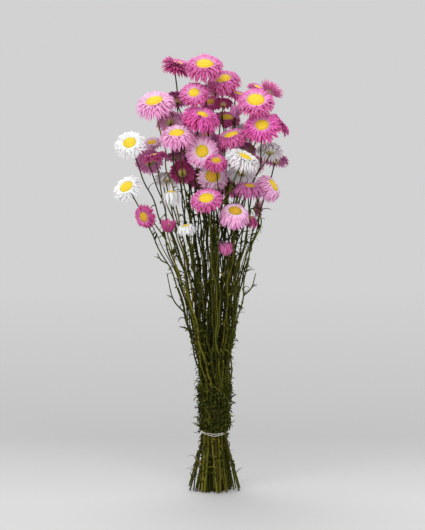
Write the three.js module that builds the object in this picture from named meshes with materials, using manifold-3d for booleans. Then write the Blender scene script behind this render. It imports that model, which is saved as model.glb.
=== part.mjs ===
// A tied bunch of dried everlasting daisies that stands upright on its splayed cut stems.
// Millimetres, +Z up, -Y to the front. The origin is the middle of the foot, on the floor.
import * as THREE from "three";
import Module from "manifold-3d";

// Stems
const TIE_HEIGHT = 69;
const NECK_HEIGHT = 125;
const WAIST_RING_STEP = 3.2;
const FOOT_RING_STEP = 5.3;
const NECK_RING_STEP = 4.1;
const STRAY_SPLAY = 1.38;
const STRAY_SIDE = 0.955;
const FOOT_TWIST = 14;
const FOOT_SCATTER = 16;
const FOOT_RADIUS = 1.5;
const TIP_RADIUS = 0.85;
const SHORT_CUT = 5;
const SHORT_EVERY = 7;
const STANDING_BEARINGS = [45, 135, 225, 315];
const CUT_LOWEST = 0.5;
const CUT_HIGHEST = 1.7;
const STRAIGHT_SHARE = 0.35;
const NOD_SHARE = 0.25;
const NOD_LONGEST = 30;
const STEM_SIDES = 3;
const PATH_STEPS = 36;
const SETTLE_PASSES = 300;
const STIFF_PASSES = 210;
const PUSH_SHARE = 0.5;
const CLEARANCE = 1.9;
const BEND_TOLERANCE = 0.7;

// The stems pressed together inside the tie, as radius and height
const CORE_SIDES = 12;
const CORE_PROFILE = [
  [0, 30],
  [7, 42],
  [12.6, 58],
  [12.6, 76],
  [8, 115],
  [0, 135],
];

// Needle leaves, thick with them just above the tie and sparse towards the blooms
const LEAF_COUNT = 162;
const LEAF_RADIUS = 0.65;
const LEAF_LENGTH = 10;
const LEAF_LOW = 75;
const LEAF_HIGH = 300;
const LEAF_CROWDING = 2.2;
const LEAF_RISE = 56;
const LEAF_RISE_SCATTER = 16;
const LEAF_TURN_SCATTER = 29;
const LEAF_LENGTH_SCATTER = 0.3;
const FOOT_LEAF_COUNT = 14;
const FOOT_LEAF_LENGTH = 7;
const FOOT_LEAF_LOWEST = 18;
const FOOT_LEAF_HIGHEST = 52;
const GOLDEN_SHARE = 0.618;
const GOLDEN_ANGLE = 137.508;

// Side shoots without a flower: the way they point (0 right, 90 back), the height of their root
// on the outermost stem there, and how far they reach out and rise.
const SHOOTS = [
  [186, 205, 20, 46],
  [192, 262, 12, 12],
  [-4, 226, 14, 26],
  [60, 240, 13, 26],
  [115, 214, 14, 30],
];
const SHOOT_RADIUS = 0.6;
const SHOOT_BEND = [0.65, 0.35];
const SHOOT_LEAF_LENGTH = 8;
const SHOOT_LEAF_TURN = 0.9;

// Tie
const TIE_RADIUS = 15.9;
const STRING_RADIUS = 0.75;
const STRING_TURNS = 2;
const STRING_SIDES = 5;
const STRING_STEPS = 28;
const STRING_PITCH = 1.9;
const KNOT_RADIUS = 2.5;
const KNOT_OUT = 1.6;
const TAIL_BEND = [4, 3.5, -2];
const TAIL_END = [5, 3, -11];

// Gap kept between a bloom and its stem, and between the tie and the stems
const SEAT = 0.3;

// How unevenly the petals reach out, as a share of their length
const PETAL_SCATTER = 0.04;

const PAPERY = 0.7;
const WOODY = 0.85;
const FIBROUS = 0.8;

const COLOURS = {
  deep_pink: "#b8326f",
  hot_pink: "#d9529a",
  mid_pink: "#e478bf",
  light_pink: "#edb0dc",
  pale_pink: "#e9cfe0",
  magenta: "#b42a78",
  deep_magenta: "#8e1f5c",
  mauve: "#a5618f",
  white: "#f2eff0",
  stem: "#5a5a20",
  string: "#c9c6c0",
};

// A bloom's profile in units of its radius, as radius and height above the petals' root.
// Each petal layer has tips and, half a petal on, the notches between them.
const FORMS = {
  open: {
    petals: 12,
    top: 0.14,
    rim: [0.4, 0.05],
    root: [0.46, 0.0],
    upper: { tip: [1.0, -0.1], notch: [0.72, 0.02] },
    lower: { tip: [0.93, -0.4], notch: [0.62, -0.2] },
    base: [0.13, -0.4],
  },
  domed: {
    petals: 12,
    top: 0.16,
    rim: [0.42, 0.06],
    root: [0.5, 0.03],
    upper: { tip: [1.0, -0.18], notch: [0.78, 0.02] },
    lower: { tip: [0.86, -0.6], notch: [0.62, -0.34] },
    base: [0.13, -0.46],
  },
  tufted: {
    petals: 12,
    top: 0.2,
    rim: [0.32, 0.08],
    root: [0.4, 0.04],
    upper: { tip: [0.96, 0.22], notch: [0.72, 0.14] },
    lower: { tip: [0.92, -0.6], notch: [0.64, -0.3] },
    base: [0.13, -0.42],
  },
  drooping: {
    petals: 12,
    top: 0.14,
    rim: [0.4, 0.05],
    root: [0.46, -0.02],
    upper: { tip: [0.97, -0.42], notch: [0.73, -0.12] },
    lower: { tip: [0.85, -0.64], notch: [0.62, -0.34] },
    base: [0.13, -0.42],
  },
  swept: {
    petals: 12,
    top: 0.14,
    rim: [0.42, 0.05],
    root: [0.48, -0.03],
    upper: { tip: [0.98, -0.6], notch: [0.76, -0.2] },
    lower: { tip: [0.78, -0.98], notch: [0.58, -0.5] },
    base: [0.13, -0.48],
  },
  cupped: {
    petals: 10,
    top: 0.14,
    rim: [0.3, 0.08],
    root: [0.36, 0.04],
    upper: { tip: [0.86, 0.46], notch: [0.66, 0.18] },
    lower: { tip: [1.0, 0.16], notch: [0.7, -0.02] },
    base: [0.13, -0.32],
  },
  goblet: {
    petals: 8,
    top: 0.5,
    rim: [0.4, 0.42],
    root: [0.62, 0.56],
    upper: { tip: [0.98, 1.0], notch: [0.9, 0.74] },
    lower: { tip: [1.0, 0.5], notch: [0.92, 0.0] },
    base: [0.45, -0.85],
  },
  bell: {
    petals: 8,
    top: 0.3,
    rim: [0.6, 0.16],
    root: [0.8, 0.04],
    upper: { tip: [1.0, -1.0], notch: [0.98, -0.5] },
    lower: { tip: [0.78, -2.0], notch: [0.72, -1.6] },
    base: [0.16, -1.5],
  },
  bud: {
    petals: 8,
    top: 0.66,
    rim: [0.3, 0.74],
    root: [0.42, 0.7],
    upper: { tip: [0.6, 1.12], notch: [0.74, 0.78] },
    lower: { tip: [0.97, 0.6], notch: [1.0, 0.1] },
    base: [0.5, -0.95],
  },
};

// Every bloom, from the top of the bunch down: x, y and z of its heart, the way it faces as
// azimuth (0 to the front, 90 to the right) and elevation, its radius, form and colour.
const BLOOMS = [
  [-42, 20, 487, 65, 74, 18.5, "tufted", "deep_pink"],
  [-11, -14, 488, 0, 60, 22, "domed", "mid_pink"],
  [10, 5, 471, -20, 60, 20, "domed", "mid_pink"],
  [-4, 12, 445, 0, 60, 14, "open", "magenta"],
  [-23, -23, 457, -7, 40, 17.5, "open", "mid_pink"],
  [-67, -19, 447, -22, 60, 23, "domed", "light_pink"],
  [-42, 12, 450, 180, 57, 16.5, "open", "mauve"],
  [-14, -29, 432, 38, 64, 23.5, "domed", "hot_pink"],
  [46, -27, 449, 0, 52, 22, "open", "mid_pink"],
  [64, 15, 458, 120, 50, 15, "cupped", "mid_pink"],
  [53, -28, 421, -8, 43, 22.5, "open", "hot_pink"],
  [75, 10, 421, 95, 40, 16.5, "open", "hot_pink"],
  [63, 4, 393, 170, 56, 16.5, "drooping", "white"],
  [-42, -35, 412, -15, 64, 20.5, "domed", "light_pink"],
  [-14, -25, 392, 0, 14, 20, "open", "light_pink"],
  [19, -19, 409, -42, 67, 18, "domed", "mid_pink"],
  [33, -43, 386, 58, 63, 20.5, "domed", "white"],
  [2, -46, 383, 0, 59, 14, "drooping", "magenta"],
  [-2, -24, 364, 0, 31, 18.5, "open", "pale_pink"],
  [-9, -49, 341, -13, 55, 19, "open", "mid_pink"],
  [31, -8, 370, 175, 37, 17.5, "drooping", "white"],
  [39, -31, 353, 20, 77, 17.5, "drooping", "mauve"],
  [66, -7, 352, 70, 33, 17, "swept", "light_pink"],
  [23, -39, 326, 13, 56, 18, "swept", "light_pink"],
  [37, -8, 316, 70, 69, 15, "drooping", "magenta"],
  [48, 10, 324, 105, -5, 11, "cupped", "mauve"],
  [13, -20, 281, 44, 83, 8.5, "goblet", "mid_pink"],
  [-79, -33, 319, -37, -9, 14.5, "open", "magenta"],
  [-52, -30, 308, 43, 83, 8, "goblet", "magenta"],
  [-32, -38, 309, -60, 80, 11, "swept", "white"],
  [-49, -14, 344, 0, 85, 8, "bell", "white"],
  [-68, -16, 386, -93, 75, 16, "open", "magenta"],
  [-95, -23, 401, -16, 42, 19, "open", "white"],
  [-71, 14, 399, -14, 63, 12, "open", "pale_pink"],
  [-99, -17, 351, -34, 43, 18, "open", "white"],
  [-36, -6, 368, 180, 27, 15.5, "open", "deep_magenta"],
  [-54, 14, 360, 170, 60, 15, "drooping", "white"],
  [-45, 8, 385, -155, 66, 12, "open", "mauve"],
  [-11, 5, 406, 0, 67, 17, "open", "mauve"],
  [36, 17, 393, 151, 51, 14, "open", "mauve"],
  [-51, 1, 427, -167, 49, 17, "drooping", "light_pink"],
  [26, 10, 454, 64, 68, 15, "open", "mid_pink"],
  [24, -10, 435, 74, 80, 6.5, "bud", "mauve"],
  [49, 29, 461, 60, 65, 12, "open", "mid_pink"],
  [10, -5, 446, 170, 60, 12, "open", "magenta"],
  [14, 20, 427, 15, 66, 17, "open", "magenta"],
  [-31, 16, 422, 0, 76, 12, "open", "deep_magenta"],
  [70, 29, 380, 157, 63, 16.5, "open", "mauve"],
  [-74, 8, 379, 180, 22, 16.5, "open", "mauve"],
  [-21, 38, 426, -167, 49, 18, "open", "light_pink"],
  [32, 40, 410, 165, 45, 17, "open", "white"],
  [-3, 52, 394, 180, 30, 19, "open", "mid_pink"],
  [-37, 42, 389, -155, 40, 17, "drooping", "hot_pink"],
  [43, 44, 375, 155, 40, 17, "open", "light_pink"],
  [-17, 40, 357, -170, 38, 17, "open", "magenta"],
  [18, 37, 348, 165, 40, 17, "open", "mid_pink"],
  [1, 37, 459, 180, 53, 16, "open", "light_pink"],
];

const radians = THREE.MathUtils.degToRad;
const UP = new THREE.Vector3(0, 0, 1);

// A fixed scatter from -1 to 1 for item n, the same on every run.
function scatter(n, salt) {
  const wave = Math.sin(n * 12.9898 + salt * 78.233) * 43758.5453;
  return 2 * (wave - Math.floor(wave)) - 1;
}

// The closed surface through rings of points that run anticlockwise, seen from the first ring's side.
// Neighbouring rings hold equal counts, or one a multiple of the other's; a ring may be one point.
function ringedSolid(rings) {
  const points = rings.flat();
  const faces = [];
  let start = 0;
  const cap = (first, count, flip) => {
    for (let i = 1; i + 1 < count; i++) {
      faces.push(first, first + i + (flip ? 1 : 0), first + i + (flip ? 0 : 1));
    }
  };
  cap(0, rings[0].length, false);
  for (let k = 0; k + 1 < rings.length; k++) {
    const above = rings[k].length;
    const below = rings[k + 1].length;
    const steps = Math.max(above, below);
    for (let i = 0; i < steps; i++) {
      const a = start + (Math.ceil((i * above) / steps) % above);
      const b = start + (Math.ceil(((i + 1) * above) / steps) % above);
      const c = start + above + (Math.ceil((i * below) / steps) % below);
      const d = start + above + (Math.ceil(((i + 1) * below) / steps) % below);
      if (c !== d) faces.push(a, c, d);
      if (a !== b) faces.push(a, d, b);
    }
    start += above;
  }
  cap(start, rings[rings.length - 1].length, true);
  const geometry = new THREE.BufferGeometry().setFromPoints(points);
  geometry.setIndex(faces);
  return geometry;
}

// A ring of points round a centre, in the plane of two axes.
function circle(centre, across, along, radius, sides) {
  return Array.from({ length: sides }, (_, i) => {
    const turn = (2 * Math.PI * i) / sides;
    return centre
      .clone()
      .addScaledVector(across, radius * Math.cos(turn))
      .addScaledVector(along, radius * Math.sin(turn));
  });
}

// A closed tapered tube along points, its first end cut level where levelFoot is true.
function tube(points, radiusAt, sides, levelFoot) {
  const across = new THREE.Vector3(1, 0, 0);
  const rings = points.map((point, i) => {
    const before = points[Math.max(i - 1, 0)];
    const after = points[Math.min(i + 1, points.length - 1)];
    const tangent = after.clone().sub(before).normalize();
    if (i === 0 && levelFoot) tangent.copy(UP);
    across.addScaledVector(tangent, -across.dot(tangent)).normalize();
    const along = tangent.clone().cross(across);
    return circle(point, across, along, radiusAt(point), sides);
  });
  return ringedSolid(rings.reverse());
}

const wasm = await Module();
wasm.setup();

function solidOf(geometry) {
  return new wasm.Manifold(
    new wasm.Mesh({
      numProp: 3,
      vertProperties: geometry.attributes.position.array,
      triVerts: new Uint32Array(geometry.index.array),
    }),
  );
}

function geometryOf(solid) {
  const mesh = solid.getMesh();
  const geometry = new THREE.BufferGeometry();
  geometry.setAttribute("position", new THREE.BufferAttribute(mesh.vertProperties, 3));
  geometry.setIndex(new THREE.BufferAttribute(mesh.triVerts, 1));
  return geometry;
}

function named(name, geometry, colour, roughness) {
  geometry.computeVertexNormals();
  const material = new THREE.MeshStandardMaterial({
    color: COLOURS[colour],
    roughness,
    metalness: 0,
    flatShading: true,
  });
  const mesh = new THREE.Mesh(geometry, material);
  mesh.name = name;
  return mesh;
}

const blooms = BLOOMS.map(([x, y, z, azimuth, elevation, radius, form, colour], index) => {
  const a = radians(azimuth);
  const e = radians(elevation);
  return {
    name: `bloom_${String(index + 1).padStart(2, "0")}_${colour}`,
    index,
    centre: new THREE.Vector3(x, y, z),
    axis: new THREE.Vector3(Math.sin(a) * Math.cos(e), -Math.cos(a) * Math.cos(e), Math.sin(e)),
    radius,
    form: FORMS[form],
    colour,
  };
});

// One bloom about its own axis +Z: heart, two petal layers set half a petal apart, and calyx.
function bloomGeometry({ form, radius, index }) {
  const count = form.petals;
  const at = ([r, h], turn, reach = 1) =>
    new THREE.Vector3(
      radius * r * reach * Math.cos(turn),
      radius * r * reach * Math.sin(turn),
      radius * h,
    );
  const step = (2 * Math.PI) / count;
  const even = (profile) => Array.from({ length: count }, (_, i) => at(profile, i * step));
  const petals = (layer, salt, tipsFirst) =>
    Array.from({ length: 2 * count }, (_, i) => {
      const isTip = (i % 2 === 0) === tipsFirst;
      const reach = 1 + PETAL_SCATTER * scatter(index * 50 + i, salt);
      return at(isTip ? layer.tip : layer.notch, (i * step) / 2, isTip ? reach : 1);
    });
  return ringedSolid([
    [at([0, form.top], 0)],
    even(form.rim),
    even(form.root),
    petals(form.upper, 1, true),
    petals(form.lower, 2, false),
    even(form.base),
  ]);
}

// How high above the floor a stem is cut: the middle one not at all, the others a little unevenly.
function cutHeight(index, ring) {
  if (ring === 0) return 0;
  if (index % SHORT_EVERY === 3 && ring > 1) return SHORT_CUT;
  return THREE.MathUtils.lerp(CUT_LOWEST, CUT_HIGHEST, (1 + scatter(index, 8)) / 2);
}

// Each stem's place in the rings round the tie: the straightest in the middle, the widest outside.
// The outer stems nearest to the standing bearings reach the floor and carry the bunch.
function waistPlaces() {
  const lean = ({ centre }) => Math.hypot(centre.x, centre.y) / (centre.z - TIE_HEIGHT);
  const bearing = ({ centre }) => Math.atan2(centre.y, centre.x);
  const order = [...blooms].sort((a, b) => lean(a) - lean(b));
  const places = [];
  for (let ring = 0, used = 0; used < order.length; ring++) {
    const count = Math.min(Math.max(6 * ring, 1), order.length - used);
    const members = order.slice(used, used + count);
    members.sort((a, b) => bearing(a) - bearing(b));
    const even = (i) => (2 * Math.PI * i) / count;
    const offset = members.reduce((sum, bloom, i) => sum + bearing(bloom) - even(i), 0) / count;
    members.forEach(({ index }, i) => {
      const turn = offset + even(i);
      const footTurn = turn + radians(FOOT_TWIST + FOOT_SCATTER * scatter(index, 3));
      places[index] = { ring, turn, footTurn, cut: cutHeight(index, ring) };
    });
    used += count;
  }
  const outerRing = Math.max(...places.map((place) => place.ring));
  const outer = places.filter((place) => place.ring === outerRing);
  STANDING_BEARINGS.forEach((bearing) => {
    const near = (place) => Math.cos(place.footTurn - radians(bearing));
    outer.reduce((best, place) => (near(place) > near(best) ? place : best)).cut = 0;
  });
  return places;
}

// How far a point must move to leave an ellipsoid round a bloom, crosswise to the stem.
function pushOff(point, tangent, bloom) {
  const { centre, axis, radius, form } = bloom;
  const lowest = Math.min(form.base[1], form.lower.tip[1]) * radius;
  const highest = Math.max(form.top, form.upper.tip[1]) * radius;
  const middle = centre.clone().addScaledVector(axis, (lowest + highest) / 2);
  const wide = radius + CLEARANCE;
  const thick = (highest - lowest) / 2 + CLEARANCE;
  const offset = point.clone().sub(middle);
  const height = offset.dot(axis);
  const sideways = offset.clone().addScaledVector(axis, -height);
  const outward = sideways.length() / wide;
  const upward = height / thick;
  const depth = Math.sqrt(Math.hypot(outward ** 2, upward ** 2));
  if (depth >= 1) return null;
  const slope = sideways.setLength(outward ** 3 / wide).addScaledVector(axis, upward ** 3 / thick);
  slope.addScaledVector(tangent, -slope.dot(tangent));
  return slope.normalize().multiplyScalar((1 - depth) * thick * PUSH_SHARE);
}

// The way of one stem from its cut foot through the tie to the bloom's calyx.
function stemPath(bloom, place) {
  const ringPoint = (ringStep, height, turn) =>
    new THREE.Vector3(
      place.ring * ringStep * Math.cos(turn),
      place.ring * ringStep * Math.sin(turn),
      height,
    );
  const strays = place.ring > 3 && Math.abs(Math.cos(place.footTurn)) > STRAY_SIDE;
  const splay = strays ? STRAY_SPLAY : 1;
  const foot = ringPoint(FOOT_RING_STEP * splay, place.cut, place.footTurn);
  const waist = ringPoint(WAIST_RING_STEP, TIE_HEIGHT, place.turn);
  const neck = ringPoint(NECK_RING_STEP, NECK_HEIGHT, place.turn);
  const seat = bloom.centre
    .clone()
    .addScaledVector(bloom.axis, bloom.radius * bloom.form.base[1] - SEAT);
  const rise = seat.distanceTo(neck);
  const bend = new THREE.CubicBezierCurve3(
    neck,
    neck.clone().add(new THREE.Vector3(0, 0, rise * STRAIGHT_SHARE)),
    seat.clone().addScaledVector(bloom.axis, -Math.min(NOD_LONGEST, rise * NOD_SHARE)),
    seat,
  );
  const free = bend.getPoints(PATH_STEPS);
  const others = blooms.filter((other) => other !== bloom);
  for (let pass = 0; pass < SETTLE_PASSES; pass++) {
    const stiffness = pass < STIFF_PASSES ? 0.3 : 0.05;
    const moves = free.map((point, i) => {
      const move = new THREE.Vector3();
      if (i < 1 || i >= free.length - 2) return move;
      const tangent = free[i + 1].clone().sub(free[i - 1]).normalize();
      others.forEach((other) => {
        const push = pushOff(point, tangent, other);
        if (push) move.add(push);
      });
      const middle = free[i - 1].clone().add(free[i + 1]).multiplyScalar(0.5);
      return move.addScaledVector(middle.sub(point), stiffness);
    });
    free.forEach((point, i) => point.add(moves[i]));
  }
  return [foot, waist, ...free];
}

const places = waistPlaces();
const paths = blooms.map((bloom) => stemPath(bloom, places[bloom.index]));

// Drops the points that lie within a tolerance of the straight way past them.
function thinned(points, tolerance) {
  const kept = [points[0]];
  let from = 0;
  for (let to = 2; to < points.length; to++) {
    const line = new THREE.Line3(points[from], points[to]);
    const near = new THREE.Vector3();
    const strays = points
      .slice(from + 1, to)
      .some((point) => line.closestPointToPoint(point, true, near).distanceTo(point) > tolerance);
    if (strays) {
      from = to - 1;
      kept.push(points[from]);
    }
  }
  kept.push(points[points.length - 1]);
  return kept;
}

function stemSolid(path) {
  const points = [path[0], path[1], ...thinned(path.slice(2), BEND_TOLERANCE)];
  const top = path[path.length - 1].z;
  const radiusAt = (point) => THREE.MathUtils.lerp(FOOT_RADIUS, TIP_RADIUS, point.z / top);
  return solidOf(tube(points, radiusAt, STEM_SIDES, true));
}

// Where a path crosses a height.
function pointAtHeight(path, height) {
  const above = path.findIndex((point) => point.z > height);
  if (above < 1) return null;
  const [low, high] = [path[above - 1], path[above]];
  return low.clone().lerp(high, (height - low.z) / (high.z - low.z));
}

// The point, at a height, of the stem that lies furthest out in a direction.
function outermost(direction, height) {
  const points = paths.map((path) => pointAtHeight(path, height)).filter(Boolean);
  return points.reduce((best, point) => (point.dot(direction) > best.dot(direction) ? point : best));
}

const levelWay = (turn) => new THREE.Vector3(Math.cos(turn), Math.sin(turn), 0);

// One three-sided needle with its root sunk in a stem.
function needle(root, way, length) {
  const across = new THREE.Vector3(-way.y, way.x, 0).normalize();
  const ring = circle(root, across, way.clone().cross(across), LEAF_RADIUS, 3);
  return ringedSolid([[root.clone().addScaledVector(way, length)], ring]);
}

function leafAt(number, height, length) {
  const turn = radians(number * GOLDEN_ANGLE);
  const root = outermost(levelWay(turn), height);
  const rise = radians(LEAF_RISE + LEAF_RISE_SCATTER * scatter(number, 4));
  const way = levelWay(turn + radians(LEAF_TURN_SCATTER) * scatter(number, 5));
  way.multiplyScalar(Math.cos(rise)).setZ(Math.sin(rise));
  return { root, way, length: length * (1 + LEAF_LENGTH_SCATTER * scatter(number, 6)) };
}

function leafSolids() {
  const upper = Array.from({ length: LEAF_COUNT }, (_, i) => {
    const share = ((i + 0.5) / LEAF_COUNT) ** LEAF_CROWDING;
    return leafAt(i, LEAF_LOW + (LEAF_HIGH - LEAF_LOW) * share, LEAF_LENGTH);
  });
  const lower = Array.from({ length: FOOT_LEAF_COUNT }, (_, i) => {
    const share = (i * GOLDEN_SHARE) % 1;
    const height = THREE.MathUtils.lerp(FOOT_LEAF_LOWEST, FOOT_LEAF_HIGHEST, share);
    return leafAt(i, height, FOOT_LEAF_LENGTH);
  });
  const clear = ({ root, way, length }) =>
    [0, 0.5, 1].every((share) => {
      const point = root.clone().addScaledVector(way, length * share);
      return blooms.every((bloom) => !pushOff(point, way, bloom));
    });
  return [...upper, ...lower]
    .filter(clear)
    .map(({ root, way, length }) => solidOf(needle(root, way, length)));
}

// One side shoot with its two leaflets.
function shootSolids([azimuth, height, reach, rise]) {
  const out = levelWay(radians(azimuth));
  const root = outermost(out, height);
  const along = (outShare, upShare) =>
    root.clone().addScaledVector(out, reach * outShare).addScaledVector(UP, rise * upShare);
  const points = [root, along(...SHOOT_BEND), along(1, 1)];
  const stalk = tube(points, () => SHOOT_RADIUS, STEM_SIDES, false);
  const leaflets = [-SHOOT_LEAF_TURN, SHOOT_LEAF_TURN].map((turn) => {
    const way = out.clone().applyAxisAngle(UP, turn).add(UP).normalize();
    return needle(points[1], way, SHOOT_LEAF_LENGTH);
  });
  return [stalk, ...leaflets].map(solidOf);
}

// The string's two turns, which end in a knot with two tails at the back.
function tieSolid() {
  const turnPoints = Array.from({ length: STRING_STEPS + 1 }, (_, i) => {
    const share = i / STRING_STEPS;
    const turn = Math.PI / 2 + 2 * Math.PI * STRING_TURNS * share;
    const point = levelWay(turn).multiplyScalar(TIE_RADIUS);
    point.z = TIE_HEIGHT + STRING_PITCH * STRING_TURNS * (0.5 - share);
    return point;
  });
  const knot = new THREE.Vector3(0, TIE_RADIUS + KNOT_OUT, TIE_HEIGHT);
  const knotRings = [1, 0.6, -0.6, -1].map((height) => {
    const centre = knot.clone().addScaledVector(UP, height * KNOT_RADIUS);
    if (Math.abs(height) === 1) return [centre];
    return circle(centre, levelWay(0), levelWay(Math.PI / 2), KNOT_RADIUS, STRING_SIDES);
  });
  const tails = [-1, 1].map((side) => {
    const [bend, end] = [TAIL_BEND, TAIL_END].map(([across, out, up]) =>
      knot.clone().add(new THREE.Vector3(side * across, out, up)),
    );
    return tube([knot, bend, end], () => STRING_RADIUS, STRING_SIDES, false);
  });
  const turns = tube(turnPoints, () => STRING_RADIUS, STRING_SIDES, false);
  return wasm.Manifold.union([turns, ringedSolid(knotRings), ...tails].map(solidOf));
}

function coreSolid() {
  const rings = [...CORE_PROFILE].reverse().map(([radius, height]) => {
    const centre = new THREE.Vector3(0, 0, height);
    if (radius === 0) return [centre];
    return circle(centre, levelWay(0), levelWay(Math.PI / 2), radius, CORE_SIDES);
  });
  return solidOf(ringedSolid(rings));
}

const part = new THREE.Group();
part.name = "dried_everlasting_daisies";

blooms.forEach((bloom) => {
  const mesh = named(bloom.name, bloomGeometry(bloom), bloom.colour, PAPERY);
  mesh.position.copy(bloom.centre);
  mesh.quaternion.setFromUnitVectors(UP, bloom.axis);
  part.add(mesh);
});

const stems = wasm.Manifold.union([
  coreSolid(),
  ...paths.map(stemSolid),
  ...SHOOTS.flatMap(shootSolids),
  ...leafSolids(),
]);
part.add(named("stems", geometryOf(stems), "stem", WOODY));
part.add(named("tie_string", geometryOf(tieSolid()), "string", FIBROUS));

export default part;
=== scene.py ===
import bpy
import numpy as np
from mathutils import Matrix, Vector


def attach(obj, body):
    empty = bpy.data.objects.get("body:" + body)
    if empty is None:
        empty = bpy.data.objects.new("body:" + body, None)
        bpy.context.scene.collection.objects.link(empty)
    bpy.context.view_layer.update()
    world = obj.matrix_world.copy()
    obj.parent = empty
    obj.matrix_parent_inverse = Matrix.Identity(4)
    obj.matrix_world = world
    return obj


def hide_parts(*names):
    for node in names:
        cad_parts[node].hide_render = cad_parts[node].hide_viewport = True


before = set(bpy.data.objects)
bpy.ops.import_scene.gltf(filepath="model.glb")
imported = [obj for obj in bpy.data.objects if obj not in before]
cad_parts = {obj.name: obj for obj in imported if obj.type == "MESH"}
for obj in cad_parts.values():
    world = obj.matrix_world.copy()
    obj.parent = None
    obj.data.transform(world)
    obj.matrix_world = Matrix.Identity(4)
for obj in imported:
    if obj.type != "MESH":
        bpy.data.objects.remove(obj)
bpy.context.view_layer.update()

MM = 0.001
TINY = 1e-9
RIGHT = np.array([1.0, 0, 0])
BACK = np.array([0, 1.0, 0])
UP = np.array([0, 0, 1.0])
SHARP_ANGLE = 55

# The fixed scatter's steps, and the salts that give each of its uses its own values. Those of the
# foot and the cut are the solid stems' own.
SCATTER_STEP = 12.9898
SALT_STEP = 78.233
SCATTER_HEIGHT = 43758.5453
FOOT_SALT = 3
CUT_SALT = 8
BOW_SALTS = [15, 16]
WAVE_SALTS = [[7, 9], [8, 10]]

# Stems, with the same route from foot to bloom as the solid stems. Ring n round the middle one
# holds six times n, and the rings are a step apart at waist, foot and neck. Outer stems at the
# sides stray further out. Some are cut short, and those at the standing bearings reach the floor.
TIE_HEIGHT = 69
NECK_HEIGHT = 125
STEMS_PER_RING = 6
WAIST_RING_STEP = 3.2
FOOT_RING_STEP = 5.3
NECK_RING_STEP = 4.1
STRAY_RING = 3
STRAY_SPLAY = 1.38
STRAY_SIDE = 0.955
FOOT_TWIST = 14
FOOT_SCATTER = 16
SHORT_CUT = 5
SHORT_EVERY = 7
SHORT_FIRST = 3
STANDING_BEARINGS = [45, 135, 225, 315]
CUT_LOWEST = 0.5
CUT_HIGHEST = 1.7

# The free way from neck to bloom: how much of its rise goes straight up and how much follows the
# bloom's axis, its steps, and how it is relaxed clear of the other blooms
STRAIGHT_SHARE = 0.35
NOD_SHARE = 0.25
NOD_LONGEST = 30
PATH_STEPS = 36
SETTLE_PASSES = 300
STIFF_PASSES = 210
STIFF_PULL = 0.3
SOFT_PULL = 0.05
PUSH_SHARE = 0.5
CLEARANCE = 1.9
SEAT = 0.3

# Stem waves: wavelength and reach, how far they take to fade in over the tie and out below
# the head, and how far in radians the stems' waves are apart
STEM_WAVES = [[41, 0.9], [97, 1.6]]
WAVE_FADES = [60, 50]
WAVE_SCATTER = 9
FOOT_BOW = 1.5

# Stem radii, the flare of the last two sections, the sides of a section, and the parts of a step
STEM_FOOT_RADIUS = 1.02
STEM_TIP_RADIUS = 0.74
STEM_FLARE = [1.25, 1.6]
STEM_SIDES = 6
STEM_FINENESS = 3
STEM_SEED = 11

# Thin stems without a flower among the others, and the heights between which they end.
# Each starts at a share of the way between two near stems and drifts from one to the other. They
# count as inside the bunch by their shade at least, and are painted darker by that, as painted shade.
BARREN_COUNT = 100
BARREN_LOWEST = 150
BARREN_HIGHEST = 335
BARREN_STEPS = 26
BARREN_FINENESS = 2
BARREN_FOOT_RADIUS = 0.8
BARREN_TIP_RADIUS = 0.5
BARREN_NEIGHBOURS = [2, 12]
BARREN_NEIGHBOUR_STEP = 10
BARREN_STARTS = [0.2, 0.8]
BARREN_DRIFTS = [-0.7, 0.7]
BARREN_SHARES = [0.08, 0.92]
BARREN_SHADE = 0.6
BARREN_LEAST_HEIGHT = 0.5
BARREN_SEED = 31
BARREN_TONE_SEED = 37

# Side shoots: the way they point (0 right, 90 back), root height, reach out and rise
SHOOTS = [
    [186, 205, 20, 46],
    [192, 262, 12, 12],
    [-4, 226, 14, 26],
    [60, 240, 13, 26],
    [115, 214, 14, 30],
]

# The shares of reach and rise at a shoot's bend, its radius and taper, its tone, and its leaflets
SHOOT_BEND = [0.65, 0.35]
SHOOT_RADIUS = 0.75
SHOOT_TAPER = [1.3, 0.6]
SHOOT_FINENESS = 6
SHOOT_TONE = 0.4
LEAFLET_TURNS = [-0.9, 0.9]
LEAFLET_REACH = 12.0
LEAFLET_CURL = 1.1
LEAFLET_HALF_WIDTH = 1.1

# Curly needle leaves: how many, from which height to which, how crowded towards the lower one,
# their rise and its spread in degrees, how far they stand off the stems, shortest and longest,
# least and most curl in radians, how far they point and bend outward (inward below 0), on the
# outermost of how many random stems they sit, and half their width
LEAF_KINDS = {
    "tangle": {
        "count": 1900, "heights": [71, 124], "crowding": 1.3, "rise": [60, 70], "stand_off": 5.0,
        "reaches": [7, 14], "curls": [1.6, 5.0], "outward": [0.15, -0.6], "tries": 8, "half_width": 0.85,
    },
    "tuft": {
        "count": 900, "heights": [116, 200], "crowding": 1.9, "rise": [70, 55], "stand_off": 1.0,
        "reaches": [5, 11], "curls": [1.8, 5.0], "outward": [0.0, -0.8], "tries": 4, "half_width": 0.75,
    },
    "sparse": {
        "count": 1300, "heights": [130, 350], "crowding": 1.2, "rise": [72, 30], "stand_off": 0.3,
        "reaches": [7, 16], "curls": [1.2, 4.4], "outward": [0.3, -0.2], "tries": 2, "half_width": 1.0,
    },
    "remnant": {
        "count": 1300, "heights": [80, 310], "crowding": 1.3, "rise": [75, 35], "stand_off": 0.9,
        "reaches": [4, 10], "curls": [1.0, 4.8], "outward": [0.2, -0.6], "tries": 5, "half_width": 0.6,
    },
    "foot": {
        "count": 620, "heights": [8, 64], "crowding": 0.8, "rise": [75, 45], "stand_off": 2.4,
        "reaches": [7, 16], "curls": [0.8, 3.8], "outward": [0.0, -0.8], "tries": 7, "half_width": 0.65,
    },
}

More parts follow.
